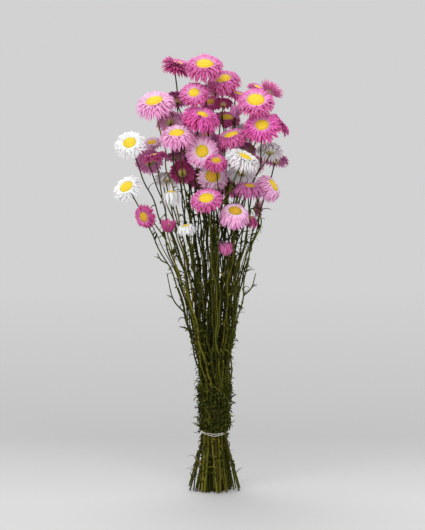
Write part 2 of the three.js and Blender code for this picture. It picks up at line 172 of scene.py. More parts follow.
# Leaves of all kinds: steps along, the section in half widths, what a tip loses of the width, how
# far below a head they end, the ranges of outward pointing and of width, and the least height
LEAF_STEPS = 5
LEAF_SECTION = np.array([[1, 0], [0, 0.45], [-1, 0], [0, -0.45]])
LEAF_TAPER = 0.8
LEAFLESS_TOP = 25
LEAF_OUTWARD_RANGE = [0.2, 1.2]
LEAF_WIDTH_RANGE = [0.7, 1.3]
LEAF_LEAST_HEIGHT = 0.6
LEAF_SEED = 23

# Tie string of two twisted plies, whose offset and radius are shares of the string's radius
TIE_RADIUS = 16.1
STRING_RADIUS = 0.47
STRING_TURNS = 2
STRING_PITCH = 0.7
STRING_LAY = 2.6
STRING_STEPS = 420
PLY_OFFSET = 0.3
PLY_RADIUS = 0.48
PLY_SIDES = 6
STRING_SAGS = [1.4, 3.1]
TAIL_BEND = [4, 3.5, -2]
TAIL_END = [5, 3, -11]
TAIL_FINENESS = 24

# The knot: how far out it lies, the reaches of its two waves across, the reach and the offset of
# the wave back, and the reaches of its two waves up
KNOT_OUT = 1.6
KNOT_ACROSS = [1.5, 0.9]
KNOT_BACK = [0.8, -0.2]
KNOT_BACK_WAVES = 1.5
KNOT_UP = [1.2, -0.8]
KNOT_STEPS = 90

# The petal layers of each form, from the top one down, in units of the bloom's radius: the
# radius and height of a petal's root, of the bend half way and of its tip. Then the disc's
# radius, rim and top, the lowest and highest points, the calyx's foot, and how far the petals
# overlap where that isn't the usual PETAL_OVERLAP.
FORMS = {
    "open": {
        "layers": [
            [[0.38, 0.03], [0.57, 0.16], [0.70, 0.11]],
            [[0.38, 0.01], [0.64, 0.14], [0.82, 0.05]],
            [[0.37, -0.02], [0.68, 0.09], [0.93, -0.05]],
            [[0.35, -0.06], [0.70, 0.02], [1.00, -0.18]],
            [[0.32, -0.11], [0.64, -0.08], [0.95, -0.37]],
        ],
        "disc": [0.40, 0.05, 0.15],
        "heights": [-0.40, 0.14],
        "base": -0.40,
    },
    "domed": {
        "layers": [
            [[0.42, 0.04], [0.56, 0.21], [0.68, 0.16]],
            [[0.42, 0.02], [0.64, 0.19], [0.81, 0.07]],
            [[0.42, 0.00], [0.71, 0.14], [0.93, -0.08]],
            [[0.41, -0.04], [0.74, 0.06], [1.00, -0.26]],
            [[0.39, -0.09], [0.73, -0.06], [0.97, -0.44]],
            [[0.36, -0.14], [0.66, -0.18], [0.87, -0.60]],
        ],
        "disc": [0.42, 0.06, 0.17],
        "heights": [-0.60, 0.16],
        "base": -0.46,
    },
    "tufted": {
        "layers": [
            [[0.30, 0.04], [0.50, 0.24], [0.68, 0.26]],
            [[0.32, 0.02], [0.60, 0.22], [0.85, 0.24]],
            [[0.33, -0.02], [0.68, 0.14], [0.98, 0.10]],
            [[0.32, -0.06], [0.70, 0.02], [1.00, -0.14]],
            [[0.30, -0.10], [0.66, -0.14], [0.96, -0.40]],
            [[0.27, -0.15], [0.56, -0.28], [0.84, -0.58]],
        ],
        "disc": [0.32, 0.08, 0.20],
        "heights": [-0.60, 0.22],
        "base": -0.42,
    },
    "drooping": {
        "layers": [
            [[0.40, 0.03], [0.60, 0.15], [0.76, 0.04]],
            [[0.40, 0.00], [0.70, 0.11], [0.90, -0.18]],
            [[0.39, -0.04], [0.73, 0.02], [0.98, -0.36]],
            [[0.37, -0.09], [0.69, -0.08], [0.94, -0.52]],
            [[0.34, -0.13], [0.58, -0.20], [0.83, -0.64]],
        ],
        "disc": [0.40, 0.05, 0.15],
        "heights": [-0.64, 0.14],
        "base": -0.42,
    },
    "swept": {
        "layers": [
            [[0.42, 0.03], [0.66, 0.12], [0.82, -0.14]],
            [[0.42, 0.00], [0.79, 0.05], [0.95, -0.42]],
            [[0.41, -0.04], [0.80, -0.06], [0.98, -0.64]],
            [[0.39, -0.08], [0.72, -0.20], [0.90, -0.82]],
            [[0.36, -0.12], [0.62, -0.36], [0.76, -0.97]],
        ],
        "disc": [0.42, 0.05, 0.15],
        "heights": [-0.98, 0.14],
        "base": -0.48,
    },
    "cupped": {
        "layers": [
            [[0.28, 0.02], [0.52, 0.12], [0.70, 0.50]],
            [[0.30, 0.00], [0.66, 0.06], [0.87, 0.45]],
            [[0.30, -0.04], [0.72, -0.02], [1.00, 0.28]],
            [[0.28, -0.10], [0.68, -0.10], [1.00, 0.08]],
        ],
        "disc": [0.30, 0.05, 0.14],
        "heights": [-0.32, 0.46],
        "base": -0.32,
        "overlap": 0.85,
    },
    "goblet": {
        "layers": [
            [[0.42, -0.40], [0.70, 0.15], [0.82, 0.84]],
            [[0.50, -0.50], [0.86, 0.05], [1.06, 1.00]],
            [[0.50, -0.60], [0.96, -0.15], [1.10, 0.70]],
            [[0.46, -0.72], [0.96, -0.35], [1.06, 0.26]],
        ],
        "disc": [0.40, 0.30, 0.38],
        "heights": [-0.85, 1.00],
        "base": -0.85,
        "overlap": 0.9,
    },
    "bell": {
        "layers": [
            [[0.50, 0.20], [1.00, 0.10], [1.34, -0.85]],
            [[0.56, 0.14], [1.02, -0.40], [1.22, -1.40]],
            [[0.60, 0.10], [1.02, -0.60], [0.98, -1.80]],
            [[0.60, 0.05], [0.92, -0.90], [0.66, -2.00]],
        ],
        "disc": [0.56, 0.18, 0.34],
        "heights": [-2.00, 0.30],
        "base": -1.50,
        "overlap": 0.8,
    },
    "bud": {
        "layers": [
            [[0.46, -0.60], [0.98, 0.35], [0.52, 1.04]],
            [[0.50, -0.70], [1.06, 0.20], [0.62, 1.12]],
            [[0.52, -0.80], [1.16, 0.05], [0.84, 0.86]],
            [[0.48, -0.86], [1.14, -0.20], [0.99, 0.40]],
        ],
        "disc": [0.34, 0.62, 0.70],
        "heights": [-0.95, 1.12],
        "base": -0.95,
    },
}

# Petals: their usual width in millimetres, and that of single blooms by number. How far they
# cover their ring, how blunt their tips are by colour, and the calyx's radii at foot and rim.
PETAL_WIDTH = 2.5
PETAL_WIDTHS = {
    5: 2.8, 10: 2.0, 13: 3.6, 14: 2.8, 15: 3.2, 17: 2.9, 18: 3.4, 19: 3.4, 21: 3.6, 23: 2.8, 24: 3.0,
    27: 2.6, 29: 2.4, 30: 3.2, 31: 2.8, 34: 3.0, 37: 3.2, 40: 3.0, 41: 3.0, 43: 3.4,
}
PETAL_OVERLAP = 1.27
PETAL_BLUNTNESS = {"white": 1.5, "light_pink": 1.6, "pale_pink": 1.6}
USUAL_BLUNTNESS = 2.3
CALYX_FOOT = 0.12
CALYX_RIM = 0.29

# The blooms, by number, with a disc wider or narrower than their form's, as a share of the bloom's
# radius, and those whose disc is old
DISC_SHARES = {2: 0.44, 5: 0.35, 8: 0.28, 9: 0.45, 11: 0.34, 15: 0.37, 16: 0.48, 19: 0.46, 20: 0.44,
               22: 0.36, 23: 0.47, 34: 0.44, 35: 0.44}
AGED_DISCS = [4, 18, 19, 22, 24, 28, 34, 39]

# Every bloom, from the top of the bunch down: x, y and z of its heart, the way it faces as
# azimuth (0 to the front, 90 to the right) and elevation, its radius, form and colour.
BLOOMS = [
    [-42, 20, 487, 65, 74, 18.5, "tufted", "deep_pink"],
    [-11, -14, 488, 0, 60, 22, "domed", "mid_pink"],
    [10, 5, 471, -20, 60, 20, "domed", "mid_pink"],
    [-4, 12, 445, 0, 60, 14, "open", "magenta"],
    [-23, -23, 457, -7, 40, 17.5, "open", "mid_pink"],
    [-67, -19, 447, -22, 60, 23, "domed", "light_pink"],
    [-42, 12, 450, 180, 57, 16.5, "open", "mauve"],
    [-14, -29, 432, 38, 64, 23.5, "domed", "hot_pink"],
    [46, -27, 449, 0, 52, 22, "open", "mid_pink"],
    [64, 15, 458, 120, 50, 15, "cupped", "mid_pink"],
    [53, -28, 421, -8, 43, 22.5, "open", "hot_pink"],
    [75, 10, 421, 95, 40, 16.5, "open", "hot_pink"],
    [63, 4, 393, 170, 56, 16.5, "drooping", "white"],
    [-42, -35, 412, -15, 64, 20.5, "domed", "light_pink"],
    [-14, -25, 392, 0, 14, 20, "open", "light_pink"],
    [19, -19, 409, -42, 67, 18, "domed", "mid_pink"],
    [33, -43, 386, 58, 63, 20.5, "domed", "white"],
    [2, -46, 383, 0, 59, 14, "drooping", "magenta"],
    [-2, -24, 364, 0, 31, 18.5, "open", "pale_pink"],
    [-9, -49, 341, -13, 55, 19, "open", "mid_pink"],
    [31, -8, 370, 175, 37, 17.5, "drooping", "white"],
    [39, -31, 353, 20, 77, 17.5, "drooping", "mauve"],
    [66, -7, 352, 70, 33, 17, "swept", "light_pink"],
    [23, -39, 326, 13, 56, 18, "swept", "light_pink"],
    [37, -8, 316, 70, 69, 15, "drooping", "magenta"],
    [48, 10, 324, 105, -5, 11, "cupped", "mauve"],
    [13, -20, 281, 44, 83, 8.5, "goblet", "mid_pink"],
    [-79, -33, 319, -37, -9, 14.5, "open", "magenta"],
    [-52, -30, 308, 43, 83, 8, "goblet", "magenta"],
    [-32, -38, 309, -60, 80, 11, "swept", "white"],
    [-49, -14, 344, 0, 85, 8, "bell", "white"],
    [-68, -16, 386, -93, 75, 16, "open", "magenta"],
    [-95, -23, 401, -16, 42, 19, "open", "white"],
    [-71, 14, 399, -14, 63, 12, "open", "pale_pink"],
    [-99, -17, 351, -34, 43, 18, "open", "white"],
    [-36, -6, 368, 180, 27, 15.5, "open", "deep_magenta"],
    [-54, 14, 360, 170, 60, 15, "drooping", "white"],
    [-45, 8, 385, -155, 66, 12, "open", "mauve"],
    [-11, 5, 406, 0, 67, 17, "open", "mauve"],
    [36, 17, 393, 151, 51, 14, "open", "mauve"],
    [-51, 1, 427, -167, 49, 17, "drooping", "light_pink"],
    [26, 10, 454, 64, 68, 15, "open", "mid_pink"],
    [24, -10, 435, 74, 80, 6.5, "bud", "mauve"],
    [49, 29, 461, 60, 65, 12, "open", "mid_pink"],
    [10, -5, 446, 170, 60, 12, "open", "magenta"],
    [14, 20, 427, 15, 66, 17, "open", "magenta"],
    [-31, 16, 422, 0, 76, 12, "open", "deep_magenta"],
    [70, 29, 380, 157, 63, 16.5, "open", "mauve"],
    [-74, 8, 379, 180, 22, 16.5, "open", "mauve"],
    [-21, 38, 426, -167, 49, 18, "open", "light_pink"],
    [32, 40, 410, 165, 45, 17, "open", "white"],
    [-3, 52, 394, 180, 30, 19, "open", "mid_pink"],
    [-37, 42, 389, -155, 40, 17, "drooping", "hot_pink"],
    [43, 44, 375, 155, 40, 17, "open", "light_pink"],
    [-17, 40, 357, -170, 38, 17, "open", "magenta"],
    [18, 37, 348, 165, 40, 17, "open", "mid_pink"],
    [1, 37, 459, 180, 53, 16, "open", "light_pink"],
]

# Petal colours in sRGB: the face, the tint by the disc, the deep colour of the painted shade between and
# under the petals, which also deepens the ribs, and the underside
# mauve, deep_magenta and pale_pink are partly their heads' own colours and partly painted shade: they are
# duller and darker for heads that lie in the shade of others.
PETAL_COLOURS = {
    "deep_pink": ["#e070b0", "#f0acd6", "#980c50", "#d868a8"],
    "hot_pink": ["#fa6cc6", "#fab0e0", "#a40850", "#f080c4"],
    "mid_pink": ["#ec7cc0", "#fac4e4", "#a80c54", "#ec8ac6"],
    "light_pink": ["#ffb8e4", "#ffe6f8", "#e07ab4", "#fcc4ea"],
    "pale_pink": ["#e0b4ce", "#f4dcea", "#a45078", "#dcb0ca"],
    "magenta": ["#d8589c", "#e08cba", "#841048", "#c4548e"],
    "deep_magenta": ["#b83478", "#c0508c", "#600830", "#a8346c"],
    "mauve": ["#d074ae", "#e0a8cc", "#883060", "#dc88c0"],
    "white": ["#f4f2f3", "#f6f5f0", "#e4dce2", "#f4e2ee"],
}

# Disc colours: two tones of floret, the painted shade in the gaps between them, and the rim's gaps, also
# painted shade, and florets
DISC_COLOURS = {
    "fresh": ["#eecc2e", "#f3da42", "#d6a822", "#9c8c16", "#d2bc2a"],
    "aged": ["#d6a226", "#e6bc3c", "#a87c1a", "#7c6a18", "#b89a2c"],
}


def lengths(vectors):
    """The length of each vector, the root of the sum of its squares."""
    return np.linalg.norm(vectors, axis=-1, keepdims=True)


def unit(vectors):
    """Each vector over its length."""
    return vectors / np.maximum(lengths(vectors), TINY)


def dot(a, b):
    """The sum of the products of two vectors' parts."""
    return np.sum(a * b, axis=-1, keepdims=True)


def scatter(n, salt):
    """A fixed scatter from -1 to 1 for item n, as the solid stems have it.

    It is twice the part behind the point of a very high sine wave, less 1.
    """
    wave = np.sin(n * SCATTER_STEP + salt * SALT_STEP) * SCATTER_HEIGHT
    return 2 * (wave - np.floor(wave)) - 1


def around(count):
    """Even turns round a circle in radians, from 0."""
    return 2 * np.pi * np.arange(count) / count


def level_way(turn):
    """Level unit vectors: the cosine of each turn to the right and its sine to the back."""
    return np.stack([np.cos(turn), np.sin(turn), np.zeros_like(turn)], axis=-1)


def fitted(form, share):
    """A form with a disc of another radius: each radius r becomes 1 - (1 - r) (1 - share) / (1 - disc)."""
    spread = (1 - share) / (1 - form["disc"][0])
    layers = np.array(form["layers"])
    layers[..., 0] = 1 - (1 - layers[..., 0]) * spread
    return {**form, "layers": layers, "disc": [share, *form["disc"][1:]]}


def read_blooms():
    """The blooms by name, each with its axis as a unit vector of its azimuth and elevation."""
    blooms = []
    for index, (x, y, z, azimuth, elevation, radius, form, colour) in enumerate(BLOOMS):
        a, e = np.radians([azimuth, elevation])
        blooms.append({
            "name": f"{index + 1:02d}_{colour}",
            "index": index,
            "centre": np.array([x, y, z], float),
            "axis": np.array([np.sin(a) * np.cos(e), -np.cos(a) * np.cos(e), np.sin(e)]),
            "radius": radius,
            "form": fitted(FORMS[form], DISC_SHARES.get(index + 1, FORMS[form]["disc"][0])),
            "colour": colour,
        })
    return blooms


def turned_to(axis):
    """The matrix of the shortest turn that brings +Z to an axis: I + K + K K / (1 + cos)."""
    x, y, z = axis
    k = np.array([[0, 0, x], [0, 0, y], [-x, -y, 0]])
    return np.eye(3) + k + k @ k / (1 + z)


def placed(points, bloom):
    """Points about a bloom's own axis, turned and moved to where the bloom is."""
    return points @ turned_to(bloom["axis"]).T + bloom["centre"]


# Routes of the stems

def waist_places(blooms):
    """Each stem's ring and turn at the tie: the straightest in the middle, the widest outside."""
    def lean(bloom):
        """How far a stem leans: its bloom's way out over its height above the tie."""
        x, y, z = bloom["centre"]
        return np.hypot(x, y) / (z - TIE_HEIGHT)

    def bearing(bloom):
        """The angle of a bloom's place round the middle."""
        return np.arctan2(bloom["centre"][1], bloom["centre"][0])

    order = sorted(blooms, key=lean)
    rings, turns = np.zeros(len(blooms)), np.zeros(len(blooms))
    used, ring = 0, 0
    while used < len(order):
        count = min(max(STEMS_PER_RING * ring, 1), len(order) - used)
        members = sorted(order[used:used + count], key=bearing)
        offset = np.mean([bearing(bloom) for bloom in members] - around(count))
        places = [bloom["index"] for bloom in members]
        rings[places] = ring
        turns[places] = offset + around(count)
        used += count
        ring += 1
    return rings, turns


def settled(points, blooms):
    """Ways from neck to calyx, relaxed clear of the other blooms.

    Each pass pulls a point to the middle of its neighbours and pushes it out of the fourth-power
    ellipsoid round every other bloom, crosswise to the stem.
    """
    centres = np.array([bloom["centre"] for bloom in blooms])
    axes = np.array([bloom["axis"] for bloom in blooms])
    radii = np.array([bloom["radius"] for bloom in blooms], float)
    spans = np.array([bloom["form"]["heights"] for bloom in blooms]) * radii[:, None]
    middles = centres + axes * spans.mean(axis=1)[:, None]
    wide = (radii + CLEARANCE)[:, None]
    thick = (np.ptp(spans, axis=1) / 2 + CLEARANCE)[:, None]
    others = 1 - np.eye(len(blooms))[:, None, :, None]
    for step in range(SETTLE_PASSES):
        stiffness = STIFF_PULL if step < STIFF_PASSES else SOFT_PULL
        inner = points[:, 1:-2]
        tangent = unit(points[:, 2:-1] - points[:, :-3])[:, :, None]
        offset = inner[:, :, None] - middles
        height = dot(offset, axes)
        sideways = offset - height * axes
        outward = lengths(sideways) / wide
        upward = height / thick
        depth = (outward ** 4 + upward ** 4) ** 0.25
        slope = unit(sideways) * outward ** 3 / wide + axes * upward ** 3 / thick
        slope = unit(slope - tangent * dot(slope, tangent))
        push = slope * np.clip(1 - depth, 0, None) * thick * PUSH_SHARE * others
        pull = (points[:, :-3] + points[:, 2:-1]) / 2 - inner
        points = points.copy()
        points[:, 1:-2] += push.sum(axis=2) + stiffness * pull
    return points


def cut_heights(index, rings, foot_turns):
    """How high the stems end: a little unevenly, but the standing ones and the middle one at 0."""
    cuts = CUT_LOWEST + (CUT_HIGHEST - CUT_LOWEST) * (1 + scatter(index, CUT_SALT)) / 2
    cuts[(index % SHORT_EVERY == SHORT_FIRST) & (rings > 1)] = SHORT_CUT
    cuts[rings == 0] = 0
    for bearing in np.radians(STANDING_BEARINGS):
        nearness = np.where(rings == rings.max(), np.cos(foot_turns - bearing), -2)
        cuts[np.argmax(nearness)] = 0
    return cuts


def stem_paths(blooms):
    """The ways of all stems: foot, waist, then a cubic curve from neck to calyx, settled."""
    rings, turns = waist_places(blooms)
    index = np.arange(len(blooms))
    foot_turns = turns + np.radians(FOOT_TWIST + FOOT_SCATTER * scatter(index, FOOT_SALT))
    strays = (rings > STRAY_RING) & (np.abs(np.cos(foot_turns)) > STRAY_SIDE)
    splay = np.where(strays, STRAY_SPLAY, 1)

    def ring_points(step, turn, height):
        """A point for each stem: its ring times the step out, at its turn and a height."""
        return level_way(turn) * (rings * step)[:, None] + UP * height

    foot = ring_points(FOOT_RING_STEP * splay, foot_turns, 0)
    foot[:, 2] = cut_heights(index, rings, foot_turns)
    waist = ring_points(WAIST_RING_STEP, turns, TIE_HEIGHT)
    neck = ring_points(NECK_RING_STEP, turns, NECK_HEIGHT)
    axes = np.array([bloom["axis"] for bloom in blooms])
    bases = [bloom["radius"] * bloom["form"]["base"] - SEAT for bloom in blooms]
    seat = np.array([bloom["centre"] for bloom in blooms]) + axes * np.array(bases)[:, None]
    rise = lengths(seat - neck)
    low_handle = neck + UP * STRAIGHT_SHARE * rise
    high_handle = seat - axes * np.minimum(NOD_LONGEST, rise * NOD_SHARE)
    t = np.linspace(0, 1, PATH_STEPS + 1)[:, None]
    terms = [(1 - t) ** 3, 3 * (1 - t) ** 2 * t, 3 * (1 - t) * t ** 2, t ** 3]
    corners = [neck, low_handle, high_handle, seat]
    free = sum(corner[:, None] * term for corner, term in zip(corners, terms))
    return np.concatenate([foot[:, None], waist[:, None], settled(free, blooms)], axis=1)


def smoothed(paths, fineness):
    """Catmull-Rom curves through the points of paths, each step cut into a number of parts.

    Each step is a cubic, whose slope at a point is half of what lies between its neighbours.
    """
    ends = [2 * paths[:, :1] - paths[:, 1:2], paths, 2 * paths[:, -1:] - paths[:, -2:-1]]
    p = np.concatenate(ends, axis=1)
    t = (np.arange(fineness) / fineness)[:, None]
    a, b, c, d = [p[:, k:p.shape[1] - 3 + k, None] for k in range(4)]
    curve = 0.5 * (
        2 * b + (c - a) * t + (2 * a - 5 * b + 4 * c - d) * t ** 2 + (3 * (b - c) + d - a) * t ** 3
    )
    curve = curve.reshape(len(paths), -1, 3)
    return np.concatenate([curve, paths[:, -1:]], axis=1)


def waved(curves):
    """Stems that bend a little: two sine waves in height above the tie and a bow below it."""
    index = np.arange(len(curves))[:, None]
    height = curves[..., 2]
    fade_in, fade_out = WAVE_FADES
    over_tie = np.clip((height - TIE_HEIGHT) / fade_in, 0, 1)
    still = over_tie * np.clip((height[:, -1:] - height) / fade_out, 0, 1)
    moved = curves.copy()
    bow = FOOT_BOW * np.sin(np.pi * np.clip(height / TIE_HEIGHT, 0, 1))
    for way, salt in enumerate(BOW_SALTS):
        moved[..., way] += bow * scatter(index, salt)
    for (wave, reach), salts in zip(STEM_WAVES, WAVE_SALTS):
        for way, salt in enumerate(salts):
            phase = 2 * np.pi * height / wave + WAVE_SCATTER * scatter(index, salt)
            moved[..., way] += reach * still * np.sin(phase)
    return moved


def crossings(curves, heights, stems):
    """The points where stems cross heights, by straight steps along each stem."""
    chosen = curves[stems]
    above = np.argmax(chosen[..., 2] > heights[:, None], axis=1)
    above = np.maximum(above, 1)
    row = np.arange(len(stems))
    low, high = chosen[row, above - 1], chosen[row, above]
    share = (heights - low[:, 2]) / np.maximum(high[:, 2] - low[:, 2], TINY)
    return low + (high - low) * np.clip(share, 0, 1)[:, None]


def crossings_at(curves, height):
    """The points where all stems cross one height."""
    return crossings(curves, np.full(len(curves), float(height)), np.arange(len(curves)))


def inwardness(curves):
    """How far inside the bunch each stem passes the tie: 1 in the middle, 0 outside."""
    reach = np.hypot(*crossings_at(curves, TIE_HEIGHT)[:, :2].T)
    return 1 - reach / reach.max()


# Shapes and pieces, whose faces are a list of arrays with the same number of corners in each

def tube_faces(rings, sides):
    """Quads between rings of points, and a polygon over either end."""
    ring = np.arange(rings - 1)[:, None] * sides
    side = np.arange(sides)
    after = (side + 1) % sides
    quads = np.stack([ring + side, ring + after, ring + sides + after, ring + sides + side], -1)
    ends = np.stack([side[::-1], (rings - 1) * sides + side])
    return [quads.reshape(-1, 4), ends]


def repeated(faces, copies, step):
    """The same faces for every copy of a shape whose points lie one after another."""
    starts = step * np.arange(copies)[:, None, None]
    return [(corners + starts).reshape(-1, corners.shape[1]) for corners in faces]


def joined(shapes):
    """One shape of several: their points in a row, and each shape's faces moved on by its start."""
    points = [points.reshape(-1, 3) for points, _ in shapes]
    starts = np.cumsum([0] + [len(part) for part in points])
    faces = [corners + start for (_, faces), start in zip(shapes, starts) for corners in faces]
    return np.concatenate(points), faces


def tubes(paths, radii, sides, out=RIGHT):
    """Closed round tubes along many paths: path + radius (across cos turn + along sin turn).

    Across is the way out, +X for the stems, made square to the path. No path runs along it.
    """
    tangent = unit(np.gradient(paths, axis=1))
    across = unit(out - tangent * dot(out, tangent))
    along = np.cross(tangent, across)
    turn = around(sides)[:, None]
    spokes = across[:, :, None] * np.cos(turn) + along[:, :, None] * np.sin(turn)
    points = paths[:, :, None] + spokes * radii[..., None, None]
    faces = repeated(tube_faces(paths.shape[1], sides), len(paths), paths.shape[1] * sides)
    return points, faces


def revolved(profile, sides):
    """A closed solid of revolution: a point at r and h gives a ring of radius r at the height h.

    The profile starts and ends on the axis, in a fan of triangles.
    """
    rings = profile[1:-1]
    points = level_way(around(sides)) * rings[:, None, :1] + rings[:, None, 1:] * UP
    ends = profile[[0, -1], 1:] * UP
    low_end = len(rings) * sides
    last_ring = low_end - sides
    side = np.arange(sides)
    after = (side + 1) % sides
    low = np.stack([after, np.full(sides, low_end), side], -1)
    high = np.stack([last_ring + side, last_ring + after, np.full(sides, low_end + 1)], -1)
    faces = [tube_faces(len(rings), sides)[0], low, high]
    return np.concatenate([points.reshape(-1, 3), ends]), faces


def per_point(shape, *values):
    """A vector for every point of a shape, from three values for its rows, rings or corners."""
    return np.stack([np.broadcast_to(value, shape) for value in values], -1).reshape(-1, 3)


def new_piece(name, shape, material, nodes, marks):
    """A mesh piece from points in millimetres, which rides on the body and replaces nodes.

    The marks are named vectors for all its points, which the material reads.
    """
    points, faces = shape
    polygons = [polygon for group in faces for polygon in group.tolist()]
    mesh = bpy.data.meshes.new(name)
    mesh.from_pydata((points.reshape(-1, 3) * MM).tolist(), [], polygons)
    for mark, vectors in marks.items():
        layer = mesh.attributes.new(mark, "FLOAT_VECTOR", "POINT")
        layer.data.foreach_set("vector", vectors.astype(np.float32).ravel())
    mesh.polygons.foreach_set("use_smooth", np.ones(len(polygons), bool))
    mesh.set_sharp_from_angle(angle=np.radians(SHARP_ANGLE))
    mesh.materials.append(material)
    piece = bpy.data.objects.new(name, mesh)
    bpy.context.scene.collection.objects.link(piece)
    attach(piece, "root")
    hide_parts(*nodes)


# Petals

# Where a petal has its sections along its length, and their corners in half widths and half
# thicknesses. Where it is widest, its width at root and tip as shares of that, the lift of its
# edges, the turn of the ripple along it, and each layer's shift in steps from petal to petal.
PETAL_STEPS = np.array([0, 0.22, 0.46, 0.68, 0.87, 1.0])
PETAL_SECTION = np.array([[-1, 0], [0, 1], [1, 0], [0, -1]])
PETAL_THICKNESS = 0.24
PETAL_WIDEST = 0.52
PETAL_ROOT_SHARE = 0.5
PETAL_TIP_SHARE = 0.05
PETAL_CUP = 0.3
RIPPLE_TURN = 2.2 * np.pi
LAYER_SHIFT = 0.37
PETAL_SEED = 100

# How far the petals differ among themselves: lengths as shares, the turn as a share of the step
# from petal to petal, and angles in radians
PETAL_SPREADS = {
    "reach": 0.05, "tip": 0.045, "bend": 0.02, "turn": 0.2, "sway": 0.08,
    "ripple": 0.02, "roll": 0.3, "width": 0.12, "cup": 0.25,
}

# Rings of calyx scales, from the top one down: from and to which share of the cone, how many.
# Bend and tip stand proud of the cone, by shares of the radius, and more in each lower ring.
BRACT_RINGS = [[0.35, 1.0, 11], [0.15, 0.8, 10], [0.0, 0.5, 8]]
BRACT_BEND_PROUD = 0.06
BRACT_TIP_PROUD = 0.04
BRACT_PROUD_STEP = 0.02
BRACT_SHIFT = 0.4
BRACT_SPREAD = 0.1
BRACT_WIDTH = 0.1
BRACT_CUP = -0.35
BRACT_BLUNTNESS = 1.5

# The cone under the petals, as shares of the bloom's radius and of the cone's height, and how
# its shoulder lies in from and below the disc's rim, then the look and kind of all its points
CALYX_PROFILE = np.array([[0, 0], [CALYX_FOOT, 0], [0.2, 0.35], [0.28, 0.8], [0.3, 1]])
CALYX_SHOULDER = [0.9, 0.04]
CALYX_SIDES = 14
CALYX_LOOK = [0.5, 0.8, 0.5]
CALYX_KIND = [1.0, 0.3, 0.0]

# How far apart the petals lie in the pattern of the ribs, so that no two look the same
PATTERN_STEP = 7.3


def petal_outline(along, bluntness):
    """Half width from root to tip: a sine rise to the widest place, then a falling power."""
    swell = np.sin(0.5 * np.pi * np.clip(along / PETAL_WIDEST, 0, 1))
    rise = PETAL_ROOT_SHARE + (1 - PETAL_ROOT_SHARE) * swell
    fall = 1 - np.clip((along - PETAL_WIDEST) / (1 - PETAL_WIDEST), 0, 1) ** bluntness[:, None]
    return rise * (PETAL_TIP_SHARE + (1 - PETAL_TIP_SHARE) * fall)


def blades(rows):
    """Thin closed blades about an axis, from rows of their sizes.

    A midrib is a quadratic curve in radius and height that also sways round the axis. The
    section across it is a thin lens on a V: lift = cup * |s|, thickness * (1 - |s|).
    """
    v = PETAL_STEPS
    s, face = PETAL_SECTION.T
    weights = np.stack([(1 - v) ** 2, 2 * v * (1 - v), v ** 2])
    profile = np.einsum("kv,pkc->pvc", weights, rows["profile"])
    turn = rows["turn"][:, None] + rows["sway"][:, None] * v ** 2
    rib = level_way(turn) * profile[..., :1] + profile[..., 1:] * UP
    rib[..., 2] += rows["ripple"][:, None] * np.sin(RIPPLE_TURN * v) * v
    tangent = unit(np.gradient(rib, axis=1))
    side = level_way(turn + np.pi / 2)
    side = unit(side - tangent * dot(side, tangent))
    normal = np.cross(tangent, side)
    roll = (rows["roll"][:, None] * v)[..., None]
    side, normal = (
        side * np.cos(roll) + normal * np.sin(roll),
        normal * np.cos(roll) - side * np.sin(roll),
    )
    half = (rows["width"][:, None] * petal_outline(v, rows["bluntness"]))[..., None, None]
    lift = half * rows["cup"][:, None, None, None] * np.abs(s)[:, None]
    lift = lift + (PETAL_THICKNESS / 2 * face)[:, None]
    points = rib[:, :, None] + side[:, :, None] * half * s[:, None] + normal[:, :, None] * lift
    across = half[..., 0] * s + np.zeros_like(points[..., 0])
    reach = lengths(np.diff(rows["profile"][:, ::2], axis=1))[:, 0]
    along = np.broadcast_to((reach * v)[..., None], across.shape)
    return points, across, along


def stacked(tables):
    """One table of named columns from several, one below the other."""
    return {key: np.concatenate([table[key] for table in tables]) for key in tables[0]}


def petal_rows(bloom, rng):
    """The sizes of all petals of a bloom, layer by layer, with each layer a part-step on."""
    radius = bloom["radius"]
    breadth = PETAL_WIDTHS.get(bloom["index"] + 1, PETAL_WIDTH)
    layers = bloom["form"]["layers"]
    overlap = bloom["form"].get("overlap", PETAL_OVERLAP)
    spreads = PETAL_SPREADS
    parts = []
    for number, (root, bend, tip) in enumerate(layers):
        middle = (root[0] + 2 * bend[0] + tip[0]) / 4 * radius
        count = int(round(2 * np.pi * middle * overlap / breadth))
        reach = 1 + spreads["reach"] * rng.uniform(-1, 1, count)
        profile = np.tile(np.array([root, bend, tip]) * radius, (count, 1, 1))
        profile[:, 2, 0] *= reach
        profile[:, 2, 1] += spreads["tip"] * radius * rng.normal(size=count)
        profile[:, 1, 1] += spreads["bend"] * radius * rng.normal(size=count)
        place = np.arange(count) + LAYER_SHIFT * number + spreads["turn"] * rng.normal(size=count)
        parts.append({
            "profile": profile,
            "turn": 2 * np.pi / count * place,
            "sway": spreads["sway"] * rng.normal(size=count),
            "ripple": spreads["ripple"] * radius * rng.normal(size=count),
            "roll": spreads["roll"] * rng.normal(size=count),
            "width": breadth / 2 * (1 + spreads["width"] * rng.normal(size=count)),
            "cup": PETAL_CUP + spreads["cup"] * rng.normal(size=count),
            "bluntness": np.full(count, PETAL_BLUNTNESS.get(bloom["colour"], USUAL_BLUNTNESS)),
            "layer": np.full(count, number / (len(layers) - 1)),
            "tone": rng.uniform(0, 1, count),
            "bract": np.zeros(count),
        })
    return stacked(parts)


